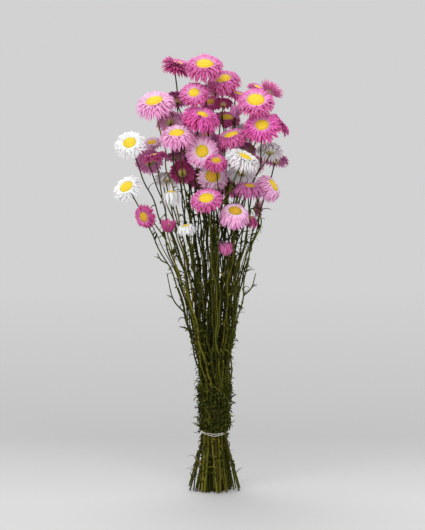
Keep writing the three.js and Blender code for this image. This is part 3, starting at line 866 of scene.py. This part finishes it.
def bract_rows(bloom, rng):
    """Short scales of the calyx, in three rings up the cone below the petals.

    On the cone the radius grows from foot to rim with the sine of the share of its height.
    """
    radius = bloom["radius"]
    base = bloom["form"]["base"]
    top = bloom["form"]["layers"][-1][0][1]

    def on_cone(share, proud):
        """Radius and height at a share of the cone's height, a little proud of the cone."""
        swell = np.sin(0.5 * np.pi * share)
        return [CALYX_FOOT + (CALYX_RIM - CALYX_FOOT) * swell + proud, base + (top - base) * share]

    parts = []
    for number, (low, high, count) in enumerate(BRACT_RINGS):
        corners = [
            on_cone(low, 0),
            on_cone((low + high) / 2, BRACT_BEND_PROUD),
            on_cone(high, BRACT_TIP_PROUD + BRACT_PROUD_STEP * number),
        ]
        place = np.arange(count) + BRACT_SHIFT * number + BRACT_SPREAD * rng.normal(size=count)
        parts.append({
            "profile": np.tile(np.array(corners) * radius, (count, 1, 1)),
            "turn": 2 * np.pi / count * place,
            "sway": np.zeros(count),
            "ripple": np.zeros(count),
            "roll": BRACT_SPREAD * rng.normal(size=count),
            "width": np.full(count, BRACT_WIDTH * radius),
            "cup": np.full(count, BRACT_CUP),
            "bluntness": np.full(count, BRACT_BLUNTNESS),
            "layer": np.full(count, number / len(BRACT_RINGS)),
            "tone": rng.uniform(0, 1, count),
            "bract": np.ones(count),
        })
    return stacked(parts)


def calyx_cone(bloom):
    """The solid of revolution that carries the petals, from the stem up to the disc."""
    base = bloom["form"]["base"]
    top = bloom["form"]["layers"][-1][0][1]
    wide, rim, _ = bloom["form"]["disc"]
    inset, drop = CALYX_SHOULDER
    cone = CALYX_PROFILE * [1, top - base] + [0, base]
    profile = np.concatenate([cone, [[wide * inset, rim - drop], [0, rim]]])
    return revolved(profile * bloom["radius"], CALYX_SIDES)


def make_petals(bloom, material):
    """A bloom's petals, calyx scales and cone, marked with what the look of the paper follows.

    The place is the way across and along each petal. The look is the share of the petal's
    length, its layer and how near the edge it is, which set the painted shade under upper layers
    and at the edges. The kind is whether it is of the calyx, its tone, and whether it is the
    underside.
    """
    rng = np.random.default_rng(PETAL_SEED + bloom["index"])
    rows = stacked([petal_rows(bloom, rng), bract_rows(bloom, rng)])
    points, across, along = blades(rows)
    shape = across.shape
    count, rings, corners = shape
    faces = repeated(tube_faces(rings, corners), count, rings * corners)
    layer, tone, bract = [rows[key][:, None, None] for key in ("layer", "tone", "bract")]
    place = per_point(shape, across, along, PATTERN_STEP * np.arange(count)[:, None, None])
    look = per_point(shape, PETAL_STEPS[:, None], layer, np.abs(PETAL_SECTION[:, 0]))
    kind = per_point(shape, bract, tone, PETAL_SECTION[:, 1] < 0)
    cone, cone_faces = calyx_cone(bloom)
    points, faces = joined([(points, faces), (cone, cone_faces)])
    marks = {
        "petal_place": np.concatenate([place, cone]),
        "petal_look": np.concatenate([look, np.tile(CALYX_LOOK, (len(cone), 1))]),
        "petal_kind": np.concatenate([kind, np.tile(CALYX_KIND, (len(cone), 1))]),
    }
    new_piece(f"petals_{bloom['name']}", (placed(points, bloom), faces), material,
              [f"bloom_{bloom['name']}"], marks)


# Disc florets, sized in shares of the disc's radius, with a profile in shares of their own size

GOLDEN_ANGLE = np.radians(137.508)
FLORETS = 84
FLORET_PROFILE = np.array([[1.1, -0.7], [1.0, 0.05], [0.62, 0.34]])

# How far each ring of a floret's profile is up from the gap, 1 at the lid
FLORET_LIFT = np.array([0.0, 0.6, 1.0])

# The sides of a floret and a way that sets them out, its size and height, and how much sizes and
# places vary. Then the dome's width and power, how many florets go round the rim, where and how
# large they are, and how olive the dome's edge and the rim are.
FLORET_SIDES = 4
FLORET_SIDE_WAY = np.array([0.31, 0.95, 0.02])
FLORET_SIZE = 0.55
FLORET_HEIGHT = 0.8
FLORET_SPREAD = 0.12
DOME_WIDTH = 0.95
DOME_POWER = 2.6
RIM_FLORETS = 28
RIM_WIDTH = 0.97
RIM_DROP = 0.03
RIM_SLOPE = 0.35
RIM_SIZE = 1.02
RIM_HEIGHT = 0.5
OLIVE_AT_DOME = 0.4
OLIVE_AT_RIM = 0.9
DISC_SEED = 300

# The body under the florets: radii and heights from the rim, then its crown, where the height
# is how far it lies below the top as a share of the dome
DISC_BODY = np.array([[0, -0.35], [0.8, -0.3], [0.98, -0.1], [0.95, 0]])
DISC_CROWN = [0.5, 0.12]
DISC_SIDES = 20
DISC_BODY_LOOK = [0.5, 0.3, 0.35]


def knobs(places, ways, sizes, heights):
    """Small closed knobs on a surface: rings of four points with a lid on top."""
    ways = unit(ways)
    across = unit(np.cross(ways, FLORET_SIDE_WAY))
    along = np.cross(ways, across)
    turn = around(FLORET_SIDES)[:, None]
    spokes = across[:, None] * np.cos(turn) + along[:, None] * np.sin(turn)
    out = FLORET_PROFILE[:, :1, None] * sizes[:, None, None, None] * spokes[:, None]
    up = FLORET_PROFILE[:, 1:, None] * heights[:, None, None, None] * ways[:, None, None]
    return places[:, None, None] + out + up


def make_disc(bloom, material):
    """Florets in a golden-angle spiral over a low dome, and a ring of larger ones round its rim.

    The dome falls from top to rim with a power of the share of its radius. The look of a floret
    is its tone, its lift from the gap to its lid, and how olive it is.
    """
    rng = np.random.default_rng(DISC_SEED + bloom["index"])
    wide, rim, top = np.array(bloom["form"]["disc"]) * bloom["radius"]
    share = np.sqrt((np.arange(FLORETS) + 0.5) / FLORETS)
    turn = GOLDEN_ANGLE * np.arange(FLORETS)
    dome = level_way(turn) * (DOME_WIDTH * wide * share)[:, None]
    dome[:, 2] = rim + (top - rim) * (1 - share ** DOME_POWER)
    slope = DOME_POWER * (top - rim) / wide * share ** (DOME_POWER - 1)
    ways = level_way(turn) * slope[:, None] + UP
    spreads = 1 + FLORET_SPREAD * rng.normal(size=FLORETS)
    size = FLORET_SIZE * wide * np.sqrt(np.pi / FLORETS) * spreads
    place = np.arange(RIM_FLORETS) + FLORET_SPREAD * rng.normal(size=RIM_FLORETS)
    edge = level_way(2 * np.pi * place / RIM_FLORETS)
    rim_places = edge * wide * RIM_WIDTH + UP * (rim - RIM_DROP * wide)
    rim_size = np.full(RIM_FLORETS, np.pi * wide / RIM_FLORETS * RIM_SIZE)
    points = np.concatenate([
        knobs(dome, ways, size, size * FLORET_HEIGHT),
        knobs(rim_places, edge + UP * RIM_SLOPE, rim_size, rim_size * RIM_HEIGHT),
    ])
    count, rings, corners, _ = points.shape
    faces = repeated(tube_faces(rings, corners), count, rings * corners)
    tone = rng.uniform(0, 1, count)
    olive = np.concatenate([share ** 4 * OLIVE_AT_DOME, np.full(RIM_FLORETS, OLIVE_AT_RIM)])
    look = per_point(points.shape[:3], tone[:, None, None], FLORET_LIFT[:, None], olive[:, None, None])
    crown = [[DISC_CROWN[0] * wide, top - DISC_CROWN[1] * (top - rim)], [0, top]]
    body, body_faces = revolved(np.concatenate([DISC_BODY * wide + [0, rim], crown]), DISC_SIDES)
    points, faces = joined([(points, faces), (body, body_faces)])
    marks = {"floret_look": np.concatenate([look, np.tile(DISC_BODY_LOOK, (len(body), 1))])}
    new_piece(f"disc_{bloom['name']}", (placed(points, bloom), faces), material,
              [f"bloom_{bloom['name']}"], marks)


# Stems, leaves, shoots and tie

def stem_look(points, tone, inner):
    """The tone and the inwardness of each tube, for every point of it."""
    # The inwardness sets how much painted shade the material puts on it
    return per_point(points.shape[:3], tone[:, None, None], inner[:, None, None], 0.0)


def new_stalks(name, shape, material, look):
    """A piece in place of the solid stems node, marked with the look of the stalks."""
    new_piece(name, shape, material, ["stems"], {"stem_look": look})


def make_stems(curves, material):
    """The flowering stems: radii that shrink evenly with height, a flare at the calyx, level feet."""
    share = curves[..., 2] / curves[:, -1:, 2]
    radii = STEM_FOOT_RADIUS + (STEM_TIP_RADIUS - STEM_FOOT_RADIUS) * share
    radii[:, -2:] *= STEM_FLARE
    points, faces = tubes(curves, radii, STEM_SIDES)
    points[:, 0, :, 2] = curves[:, :1, 2]
    tone = np.random.default_rng(STEM_SEED).uniform(0, 1, len(curves))
    # Stems further inside the bunch get more painted shade
    new_stalks("stem_stalks", (points, faces), material, stem_look(points, tone, inwardness(curves)))


def barren_curves(curves):
    """Thin stems that pass from beside one flowering stem to beside another as they rise.

    At each height a point is (1 - w) A + w B, between two stems A and B, and w drifts on the way.
    """
    rng = np.random.default_rng(BARREN_SEED)
    ends = rng.uniform(BARREN_LOWEST, BARREN_HIGHEST, BARREN_COUNT)
    first = rng.integers(0, len(curves), BARREN_COUNT)
    middle = curves[:, STEM_FINENESS * BARREN_NEIGHBOUR_STEP]
    apart = lengths(middle[first][:, None] - middle[None])[..., 0]
    near = np.argsort(apart, axis=1)
    second = near[np.arange(BARREN_COUNT), rng.integers(*BARREN_NEIGHBOURS, BARREN_COUNT)]
    start = rng.uniform(*BARREN_STARTS, BARREN_COUNT)
    drift = rng.uniform(*BARREN_DRIFTS, BARREN_COUNT)
    rows = []
    for share in np.linspace(0, 1, BARREN_STEPS):
        heights = np.maximum(ends * share, BARREN_LEAST_HEIGHT)
        mix = np.clip(start + drift * share, *BARREN_SHARES)[:, None]
        a, b = [crossings(curves, heights, chosen) for chosen in (first, second)]
        point = a * (1 - mix) + b * mix
        point[:, 2] = heights
        rows.append(point)
    barren = np.stack(rows, axis=1)
    barren[:, 0, 2] = 0
    return barren


def make_barren_stems(barren, material):
    """The thin stems, with radii that shrink evenly with height and level feet."""
    share = barren[..., 2] / barren[:, -1:, 2]
    radii = BARREN_FOOT_RADIUS + (BARREN_TIP_RADIUS - BARREN_FOOT_RADIUS) * share
    radii = np.repeat(radii, BARREN_FINENESS, axis=1)[:, BARREN_FINENESS - 1:]
    points, faces = tubes(smoothed(barren, BARREN_FINENESS), radii, STEM_SIDES)
    points[:, 0, :, 2] = 0
    tone = np.random.default_rng(BARREN_TONE_SEED).uniform(0, 1, len(barren))
    # How far inside the bunch each thin stem is, which the material paints as shade
    inner = BARREN_SHADE + (1 - BARREN_SHADE) * inwardness(barren)
    new_stalks("barren_stalks", (points, faces), material, stem_look(points, tone, inner))


def curled_blades(roots, ways, sides, reaches, curls, widths):
    """Needle leaves on circular arcs: root + reach / curl * (way sin + side (1 - cos)).

    Their width falls with the third power of the share of their length.
    """
    t = np.linspace(0, 1, LEAF_STEPS)
    bend = curls[:, None] * t
    scale = (reaches / curls)[:, None, None]
    rib = roots[:, None] + scale * (
        ways[:, None] * np.sin(bend)[..., None] + sides[:, None] * (1 - np.cos(bend))[..., None]
    )
    out = ways[:, None] * np.cos(bend)[..., None] + sides[:, None] * np.sin(bend)[..., None]
    flat = np.broadcast_to(np.cross(ways, sides)[:, None], out.shape)
    thick = np.cross(out, flat)
    taper = (widths[:, None] * (1 - LEAF_TAPER * t ** 3))[..., None, None]
    spokes = flat[:, :, None] * LEAF_SECTION[:, :1] + thick[:, :, None] * LEAF_SECTION[:, 1:]
    corners = len(LEAF_SECTION)
    faces = repeated(tube_faces(LEAF_STEPS, corners), len(roots), LEAF_STEPS * corners)
    return rib[:, :, None] + spokes * taper, faces


def make_leaves(kind, curves, seed, material):
    """Needle leaves on the outermost of a few random stems, each set by its rise and its turn."""
    rng = np.random.default_rng(seed)
    rule = LEAF_KINDS[kind]
    count = rule["count"]
    low, high = rule["heights"]
    heights = low + (high - low) * ((np.arange(count) + 0.5) / count) ** rule["crowding"]
    highest = curves[:, -1, 2] - LEAFLESS_TOP
    tries = rng.integers(0, len(curves), (rule["tries"], count))
    places = np.array([
        crossings(curves, np.minimum(heights, highest[stems]), stems) for stems in tries
    ])
    bearings = rng.uniform(0, 2 * np.pi, count)
    out = level_way(bearings)
    best = np.argmax(dot(places, out)[..., 0], axis=0)
    stand = rng.uniform(0, 1, count)
    roots = places[best, np.arange(count)] + out * (rule["stand_off"] * stand)[:, None]
    mean, rise_spread = np.radians(rule["rise"])
    rise = mean + rise_spread * rng.normal(size=count)
    aside = level_way(bearings + np.pi / 2) * np.sign(rng.normal(size=count))[:, None]
    point_out, bend_out = rule["outward"]
    ways = unit(
        aside * np.cos(rise)[:, None] + UP * np.sin(rise)[:, None]
        + out * (point_out * rng.uniform(*LEAF_OUTWARD_RANGE, count))[:, None]
    )
    swing = unit(np.cross(ways, rng.normal(size=(count, 3)))) + out * bend_out
    swing = unit(swing - ways * dot(swing, ways))
    reaches = rng.uniform(*rule["reaches"], count)
    curls = rng.uniform(*rule["curls"], count)
    widths = rule["half_width"] * rng.uniform(*LEAF_WIDTH_RANGE, count)
    points, faces = curled_blades(roots, ways, swing, reaches, curls, widths)
    points[..., 2] = np.maximum(points[..., 2], LEAF_LEAST_HEIGHT)
    # Leaves that stand closer to their stem get more painted shade
    look = stem_look(points, rng.uniform(0, 1, count), 1 - stand)
    new_stalks(f"{kind}_leaves", (points, faces), material, look)


def make_shoots(curves, material):
    """Thin side shoots without a flower, each with two curled leaflets and a needle tip.

    Each is a smooth curve from the outermost stem on its side through a bend to its tip.
    """
    turns = np.radians([shoot[0] for shoot in SHOOTS])
    bend_out, bend_up = SHOOT_BEND
    shapes = []
    for way, (_, height, reach, rise) in zip(level_way(turns), SHOOTS):
        points = crossings_at(curves, height)
        root = points[np.argmax(points @ way)]
        bend = root + way * reach * bend_out + UP * rise * bend_up
        shapes.append([root, bend, root + way * reach + UP * rise])
    shapes = np.array(shapes)
    stalks = smoothed(shapes, SHOOT_FINENESS)
    thick, thin = SHOOT_TAPER
    radii = np.linspace(SHOOT_RADIUS * thick, SHOOT_RADIUS * thin, stalks.shape[1])
    leaf_turns = (turns[:, None] + LEAFLET_TURNS).ravel()
    leaf_ways = unit(level_way(leaf_turns) + UP)
    swing = unit(np.cross(leaf_ways, level_way(leaf_turns + np.pi / 2)))
    roots = np.repeat(shapes[:, 1], len(LEAFLET_TURNS), axis=0)
    sizes = [np.full(len(roots), size) for size in (LEAFLET_REACH, LEAFLET_CURL, LEAFLET_HALF_WIDTH)]
    points, faces = joined([
        tubes(stalks, np.tile(radii, (len(SHOOTS), 1)), STEM_SIDES),
        curled_blades(roots, leaf_ways, -swing, *sizes),
    ])
    look = np.tile([SHOOT_TONE, 0.0, 0.0], (len(points), 1))
    new_stalks("side_shoots", (points, faces), material, look)


def plied(path, out, lay, offset):
    """Two plies that wind round a path: path + offset (cos out + sin up) with a turn each lay."""
    steps = np.linalg.norm(np.diff(path, axis=0), axis=1)
    travel = np.concatenate([[0], np.cumsum(steps)])
    tangent = unit(np.gradient(path, axis=0))
    side = unit(out - tangent * dot(out, tangent))
    other = np.cross(tangent, side)
    angle = 2 * np.pi * travel / lay
    return np.stack([
        path + offset * (side * np.cos(angle + start)[:, None] + other * np.sin(angle + start)[:, None])
        for start in (0, np.pi)
    ])


def make_tie(material):
    """Two turns of two-ply string round the stems, an overhand knot behind and two tails.

    The turns are circles that sink evenly and sag to the front, each by its own depth. The knot
    is a loop of sine waves across, back and up.
    """
    share = np.linspace(0, 1, STRING_STEPS)
    turn = np.pi / 2 + 2 * np.pi * STRING_TURNS * share
    rise = TIE_HEIGHT + STRING_PITCH * STRING_TURNS * (0.5 - share)
    dip = np.where(np.sin(turn) < 0, 1 - np.abs(np.cos(turn)), 0)
    rise = rise - dip * np.where(share < 0.5, *STRING_SAGS)
    ring = level_way(turn) * TIE_RADIUS + rise[:, None] * UP
    knot = np.array([0, TIE_RADIUS + KNOT_OUT, TIE_HEIGHT])
    t = np.linspace(0, 2 * np.pi, KNOT_STEPS)
    loop = knot + np.stack([
        KNOT_ACROSS[0] * np.sin(t) + KNOT_ACROSS[1] * np.sin(2 * t),
        KNOT_BACK[0] * np.cos(KNOT_BACK_WAVES * t) + KNOT_BACK[1],
        KNOT_UP[0] * np.cos(t) + KNOT_UP[1] * np.cos(2 * t),
    ], -1)
    strands = [(ring, level_way(turn)), (loop, BACK)]
    for way in (-1, 1):
        corners = np.array([[0, 0, 0], TAIL_BEND, TAIL_END]) * [way, 1, 1] + knot
        strands.append((smoothed(corners[None], TAIL_FINENESS)[0], RIGHT))
    shapes = []
    for path, out in strands:
        plies = plied(path, out, STRING_LAY, STRING_RADIUS * PLY_OFFSET)
        radii = np.full(plies.shape[:2], STRING_RADIUS * PLY_RADIUS)
        shapes.append(tubes(plies, radii, PLY_SIDES, out))
    new_piece("tie_twine", joined(shapes), material, ["tie_string"], {})


# Materials

# Colours in sRGB: two tones of calyx scale, browned stems, stalks and leaves dark and light, the dark
# one also the painted shade inside the bunch, twine in its dents, darker there as painted shade, and
# on its fibres, and the floor near, lighter there as painted light, behind the bunch, darker there as
# painted shade, and far off
CALYX_COLOURS = ["#8a7a2a", "#b4a650"]
BROWNED_STEM = "#7e6626"
STALK_COLOURS = {
    "dried_stalk": ["#151602", "#6a6a1e"],
    "dried_needle_leaf": ["#0e1002", "#5a6018"],
}
TWINE_COLOURS = ["#bcb8b0", "#e6e2dc"]
FLOOR_COLOURS = ["#bcbcbc", "#a8a8a8", "#b1b1b1"]
ROOM_COLOUR = "#f0f0f0"

# Widths and lengths of patterns in millimetres: seven ribs to 5 mm across a petal, nine streaks
# to 10 mm round a stem, and nine fibres to 5 mm of twine
RIB_WIDTH = 5 / 7
RIB_LENGTH = 25 / 3
STREAK_WIDTH = 10 / 9
STREAK_LENGTH = 50 / 3
FIBRE_WIDTH = 5 / 9
NOISE_DETAIL = 3.0


def linear(hexcode):
    """An sRGB hex colour as the linear red, green, blue and alpha that a socket takes."""
    srgb = np.array([int(hexcode[i:i + 2], 16) for i in (1, 3, 5)]) / 255
    value = np.where(srgb <= 0.04045, srgb / 12.92, ((srgb + 0.055) / 1.055) ** 2.4)
    return [*value.tolist(), 1.0]


def add_node(tree, kind, inputs=(), **settings):
    """Adds a shader node with its settings, and fills its inputs in use in order, or by name.

    A value that is a socket or a node becomes a link, from the node's first output in use. In
    order, a Map Range node takes a value, its low and high ends, and what those two become.
    """
    node = tree.nodes.new("ShaderNode" + kind)
    for name, value in settings.items():
        setattr(node, name, value)
    sockets = [socket for socket in node.inputs if socket.enabled]
    if isinstance(inputs, dict):
        sockets = [node.inputs[name] for name in inputs]
        inputs = inputs.values()
    for socket, value in zip(sockets, inputs):
        if isinstance(value, bpy.types.Node):
            value = next(output for output in value.outputs if output.enabled)
        if isinstance(value, bpy.types.NodeSocket):
            tree.links.new(value, socket)
        else:
            socket.default_value = value
    return node


def new_material(name):
    """A material without nodes yet, and the tree that takes them."""
    material = bpy.data.materials.new(name)
    material.use_nodes = True
    material.node_tree.nodes.clear()
    return material, material.node_tree


def petal_paper(colour):
    """Dried papery petal: matt, faintly ribbed lengthwise, paler by the disc, deeper below.

    The ribs of the real petal are about 0.3 mm apart and are drawn at 0.7 mm so that they show.
    Its deeper lower layers and darker edges are painted shade, where the layers above cover them
    and between the petals.
    """
    face, pale, deep, back = [linear(code) for code in PETAL_COLOURS[colour]]
    green, straw = [linear(code) for code in CALYX_COLOURS]
    material, tree = new_material(f"dried_petal_{colour}")
    place = add_node(tree, "Attribute", attribute_name="petal_place").outputs["Vector"]
    look = add_node(tree, "Attribute", attribute_name="petal_look").outputs["Vector"]
    kind = add_node(tree, "Attribute", attribute_name="petal_kind").outputs["Vector"]
    along, layer, edge = add_node(tree, "SeparateXYZ", [look]).outputs
    bract, tone, under = add_node(tree, "SeparateXYZ", [kind]).outputs
    rib_scale = (1 / RIB_WIDTH, 1 / RIB_LENGTH, 1.0)
    stretched = add_node(tree, "Mapping", {"Vector": place, "Scale": rib_scale})
    ribs = add_node(tree, "TexNoise", {"Vector": stretched, "Scale": 1.0, "Detail": NOISE_DETAIL})
    # The face is paler by the disc
    near_disc = add_node(tree, "MapRange", [along, 0.0, 0.55, 0.85, 0.0])
    tinted = add_node(tree, "Mix", [near_disc, face, pale], data_type="RGBA")
    # It is deeper along the ribs, and darker with painted shade where an upper layer covers it and at the
    # edge
    layer_shade_along = add_node(tree, "MapRange", [along, 0.5, 0.9, 1.0, 0.45])
    painted_layer_shade = add_node(tree, "Math", [layer, layer_shade_along], operation="MULTIPLY")
    grooves = add_node(tree, "MapRange", [ribs, 0.42, 0.7, 0.0, 0.22])
    ribbed = add_node(tree, "Math", [tone, 0.2, grooves], operation="MULTIPLY_ADD")
    lowered = add_node(tree, "Math", [ribbed, 0.14], operation="SUBTRACT")
    edge_shade_and_ribs = add_node(tree, "Math", [edge, 0.22, lowered], operation="MULTIPLY_ADD")
    # The depth is painted shade under the upper layers and at the edges, with the ribs' and the tone's own
    # deepening
    depth = add_node(tree, "Math", [painted_layer_shade, edge_shade_and_ribs], operation="ADD")
    upper = add_node(tree, "Mix", [depth, tinted, deep], data_type="RGBA")
    # The underside is deeper along the ribs alone
    veined = add_node(tree, "Math", [ribbed, 0.7], operation="MULTIPLY")
    lower = add_node(tree, "Mix", [veined, back, deep], data_type="RGBA")
    petal = add_node(tree, "Mix", [under, upper, lower], data_type="RGBA")
    # The scales of the calyx take the petals' colour at their tips
    scale = add_node(tree, "Mix", [tone, green, straw], data_type="RGBA")
    near_tip = add_node(tree, "MapRange", [along, 0.3, 0.9, 0.0, 0.75])
    tipped = add_node(tree, "Mix", [near_tip, scale, face], data_type="RGBA")
    final = add_node(tree, "Mix", [bract, petal, tipped], data_type="RGBA")
    bump = add_node(tree, "Bump", {"Height": ribs, "Strength": 0.35, "Distance": 0.4 * MM})
    shader = add_node(tree, "BsdfPrincipled", {
        "Base Color": final, "Roughness": 0.62, "Normal": bump, "Specular IOR Level": 0.3,
        "Subsurface Weight": 0.55, "Subsurface Scale": 0.8 * MM,
        "Subsurface Radius": (1.2, 0.7, 0.9),
    })
    add_node(tree, "OutputMaterial", [shader])
    return material


def floret_wax(age):
    """Dried tubular florets: waxy yellow knobs, ochre painted shade in the gaps, olive round the rim."""
    low, high, gap_shade, rim_gap, rim_knob = [linear(code) for code in DISC_COLOURS[age]]
    material, tree = new_material(f"dried_florets_{age}")
    look = add_node(tree, "Attribute", attribute_name="floret_look").outputs["Vector"]
    tone, lift, olive = add_node(tree, "SeparateXYZ", [look]).outputs
    knob = add_node(tree, "Mix", [tone, low, high], data_type="RGBA")
    # The gap colour at the foot of each floret, and the rim's gap colour, are painted shade between the
    # florets
    yellow = add_node(tree, "Mix", [lift, gap_shade, knob], data_type="RGBA")
    rim = add_node(tree, "Mix", [lift, rim_gap, rim_knob], data_type="RGBA")
    final = add_node(tree, "Mix", [olive, yellow, rim], data_type="RGBA")
    shader = add_node(tree, "BsdfPrincipled", {
        "Base Color": final, "Roughness": 0.7, "Specular IOR Level": 0.3,
    })
    add_node(tree, "OutputMaterial", [shader])
    return material


def dried_stalk(name):
    """Dried green stalk: matt olive with long paler streaks, browner on some stems.

    Stalks and leaves inside the bunch are painted darker than those outside, as painted shade. The
    streaks of the real stem are finer, and are drawn about a millimetre wide so that they show.
    """
    dark, light = [linear(code) for code in STALK_COLOURS[name]]
    material, tree = new_material(name)
    look = add_node(tree, "Attribute", attribute_name="stem_look").outputs["Vector"]
    tone, inner, _ = add_node(tree, "SeparateXYZ", [look]).outputs
    place = add_node(tree, "TexCoord").outputs["Object"]
    streak_scale = (1 / (STREAK_WIDTH * MM), 1 / (STREAK_WIDTH * MM), 1 / (STREAK_LENGTH * MM))
    stretched = add_node(tree, "Mapping", {"Vector": place, "Scale": streak_scale})
    streaks = add_node(tree, "TexNoise", {"Vector": stretched, "Scale": 1.0, "Detail": NOISE_DETAIL})
    toned = add_node(tree, "Math", [tone, 0.7], operation="MULTIPLY")
    streaked = add_node(tree, "Math", [streaks, 0.6, toned], operation="MULTIPLY_ADD")
    lightness = add_node(tree, "Math", [streaked, 0.2], operation="SUBTRACT")
    olive = add_node(tree, "Mix", [lightness, dark, light], data_type="RGBA")
    brown = add_node(tree, "MapRange", [tone, 0.8, 0.95, 0.0, 0.5])
    faded = add_node(tree, "Mix", [brown, olive, linear(BROWNED_STEM)], data_type="RGBA")
    # Stalks and leaves inside the bunch are drawn towards the dark colour, as painted shade
    painted_shade = add_node(tree, "Math", [inner, 0.85], operation="MULTIPLY")
    final = add_node(tree, "Mix", [painted_shade, faded, dark], data_type="RGBA")
    bump = add_node(tree, "Bump", {"Height": streaks, "Strength": 0.4, "Distance": 0.3 * MM})
    shader = add_node(tree, "BsdfPrincipled", {
        "Base Color": final, "Roughness": 0.85, "Specular IOR Level": 0.12, "Normal": bump,
    })
    add_node(tree, "OutputMaterial", [shader])
    return material


def cotton_twine():
    """Undyed cotton string: matt off-white fibres, soft and faintly uneven.

    Real fibres are far finer, and are drawn half a millimetre wide so that they show.
    """
    dent, fibre = [linear(code) for code in TWINE_COLOURS]
    material, tree = new_material("cotton_twine")
    place = add_node(tree, "TexCoord").outputs["Object"]
    fibre_scale = 1 / (FIBRE_WIDTH * MM)
    fibres = add_node(tree, "TexNoise", {"Vector": place, "Scale": fibre_scale, "Detail": NOISE_DETAIL})
    # The dent colour in the low places of the fibres is painted shade
    final = add_node(tree, "Mix", [fibres, dent, fibre], data_type="RGBA")
    bump = add_node(tree, "Bump", {"Height": fibres, "Strength": 0.4, "Distance": 0.2 * MM})
    shader = add_node(tree, "BsdfPrincipled", {
        "Base Color": final, "Roughness": 0.9, "Sheen Weight": 0.3, "Normal": bump,
    })
    add_node(tree, "OutputMaterial", [shader])
    return material


def floor_paint():
    """Pale matt paint of a studio floor, lighter under the bunch as painted light and a little darker
    behind it as painted shade.
    """
    near, behind, far = [linear(code) for code in FLOOR_COLOURS]
    material, tree = new_material("pale_floor")
    place = add_node(tree, "TexCoord").outputs["Object"]
    away = add_node(tree, "SeparateXYZ", [place]).outputs["Y"]
    # Painted light in front of the bunch fades to painted shade behind it, then to an even tone far off
    dimmed = add_node(tree, "MapRange", [away, *FLOOR_DIMMED, 0.0, 1.0])
    cleared = add_node(tree, "MapRange", [away, *FLOOR_CLEARED, 0.0, 1.0])
    dim = add_node(tree, "Mix", [dimmed, near, behind], data_type="RGBA")
    final = add_node(tree, "Mix", [cleared, dim, far], data_type="RGBA")
    shader = add_node(tree, "BsdfPrincipled", {
        "Base Color": final, "Roughness": 0.9, "Specular IOR Level": 0.0,
    })
    add_node(tree, "OutputMaterial", [shader])
    return material


# Stage

# The camera: what it looks at and from how far in millimetres, its elevation in degrees, its
# focal length and sensor width in millimetres, and how far it sees in metres
CAMERA_TARGET = (-2.305, 0, 260.65)
CAMERA_DISTANCE = 2500
CAMERA_ELEVATION = 7
CAMERA_LENS = 149.23
CAMERA_SENSOR = 36
CAMERA_SIGHT = 1000

# The floor's rings in millimetres, and from where to where in metres its painted shade darkens it
# behind the bunch and clears again
FLOOR_RADII = np.array([300, 1000, 5000, 30000, 400000])
FLOOR_SIDES = 64
FLOOR_DIMMED = [-0.05, 0.3]
FLOOR_CLEARED = [0.4, 1.7]

# Softboxes: the place in metres that each shines from, how wide it looks in degrees, its strength
SOFTBOXES = {
    "top_softbox": [(-0.2, 0.7, 1.9), 35, 1.35],
    "front_softbox": [(-0.35, -1.9, 1.2), 80, 2.4],
}
ROOM_STRENGTH = 0.75


def make_camera():
    """A camera in front of its target, raised by its elevation, with a long lens."""
    camera = bpy.data.objects.new("camera", bpy.data.cameras.new("camera"))
    bpy.context.scene.collection.objects.link(camera)
    target = Vector(CAMERA_TARGET) * MM
    e = np.radians(CAMERA_ELEVATION)
    back = Vector((0, -np.cos(e), np.sin(e)))
    camera.location = target + back * CAMERA_DISTANCE * MM
    camera.rotation_euler = (-back).to_track_quat("-Z", "Y").to_euler()
    camera.data.lens = CAMERA_LENS
    camera.data.sensor_width = CAMERA_SENSOR
    camera.data.clip_end = CAMERA_SIGHT
    bpy.context.scene.camera = camera


def make_floor():
    """A level disc of rings about the foot, with a fan of triangles in the innermost."""
    rings = level_way(around(FLOOR_SIDES)) * FLOOR_RADII[:, None, None]
    points = np.concatenate([rings.reshape(-1, 3), [[0, 0, 0]]])
    side = np.arange(FLOOR_SIDES)
    fan = np.stack([np.full(FLOOR_SIDES, len(points) - 1), side, (side + 1) % FLOOR_SIDES], -1)
    quads = tube_faces(len(FLOOR_RADII), FLOOR_SIDES)[0][:, ::-1]
    mesh = bpy.data.meshes.new("floor")
    mesh.from_pydata((points * MM).tolist(), [], fan.tolist() + quads.tolist())
    mesh.materials.append(floor_paint())
    floor = bpy.data.objects.new("floor", mesh)
    bpy.context.scene.collection.objects.link(floor)


def make_lights():
    """Two even soft lights, each from one way as from a wide softbox far off, in a pale room."""
    for name, (way, wide, strength) in SOFTBOXES.items():
        light = bpy.data.objects.new(name, bpy.data.lights.new(name, "SUN"))
        light.data.angle = np.radians(wide)
        light.data.energy = strength
        light.location = way
        light.rotation_euler = (-Vector(way)).to_track_quat("-Z", "Y").to_euler()
        bpy.context.scene.collection.objects.link(light)
    world = bpy.data.worlds.new("studio")
    world.use_nodes = True
    background = world.node_tree.nodes["Background"]
    background.inputs["Color"].default_value = linear(ROOM_COLOUR)
    background.inputs["Strength"].default_value = ROOM_STRENGTH
    bpy.context.scene.world = world
    bpy.context.scene.view_settings.view_transform = "Standard"


make_camera()
make_lights()
make_floor()

blooms = read_blooms()
paths = stem_paths(blooms)
petal_materials = {colour: petal_paper(colour) for colour in PETAL_COLOURS}
disc_materials = {age: floret_wax(age) for age in DISC_COLOURS}
for bloom in blooms:
    age = "aged" if bloom["index"] + 1 in AGED_DISCS else "fresh"
    make_petals(bloom, petal_materials[bloom["colour"]])
    make_disc(bloom, disc_materials[age])
stalk_material = dried_stalk("dried_stalk")
leaf_material = dried_stalk("dried_needle_leaf")
curves = waved(smoothed(paths, STEM_FINENESS))
make_stems(curves, stalk_material)
make_barren_stems(barren_curves(curves), stalk_material)
for number, kind in enumerate(LEAF_KINDS):
    make_leaves(kind, curves, LEAF_SEED + number, stalk_material if kind == "foot" else leaf_material)
make_shoots(curves, leaf_material)
make_tie(cotton_twine())
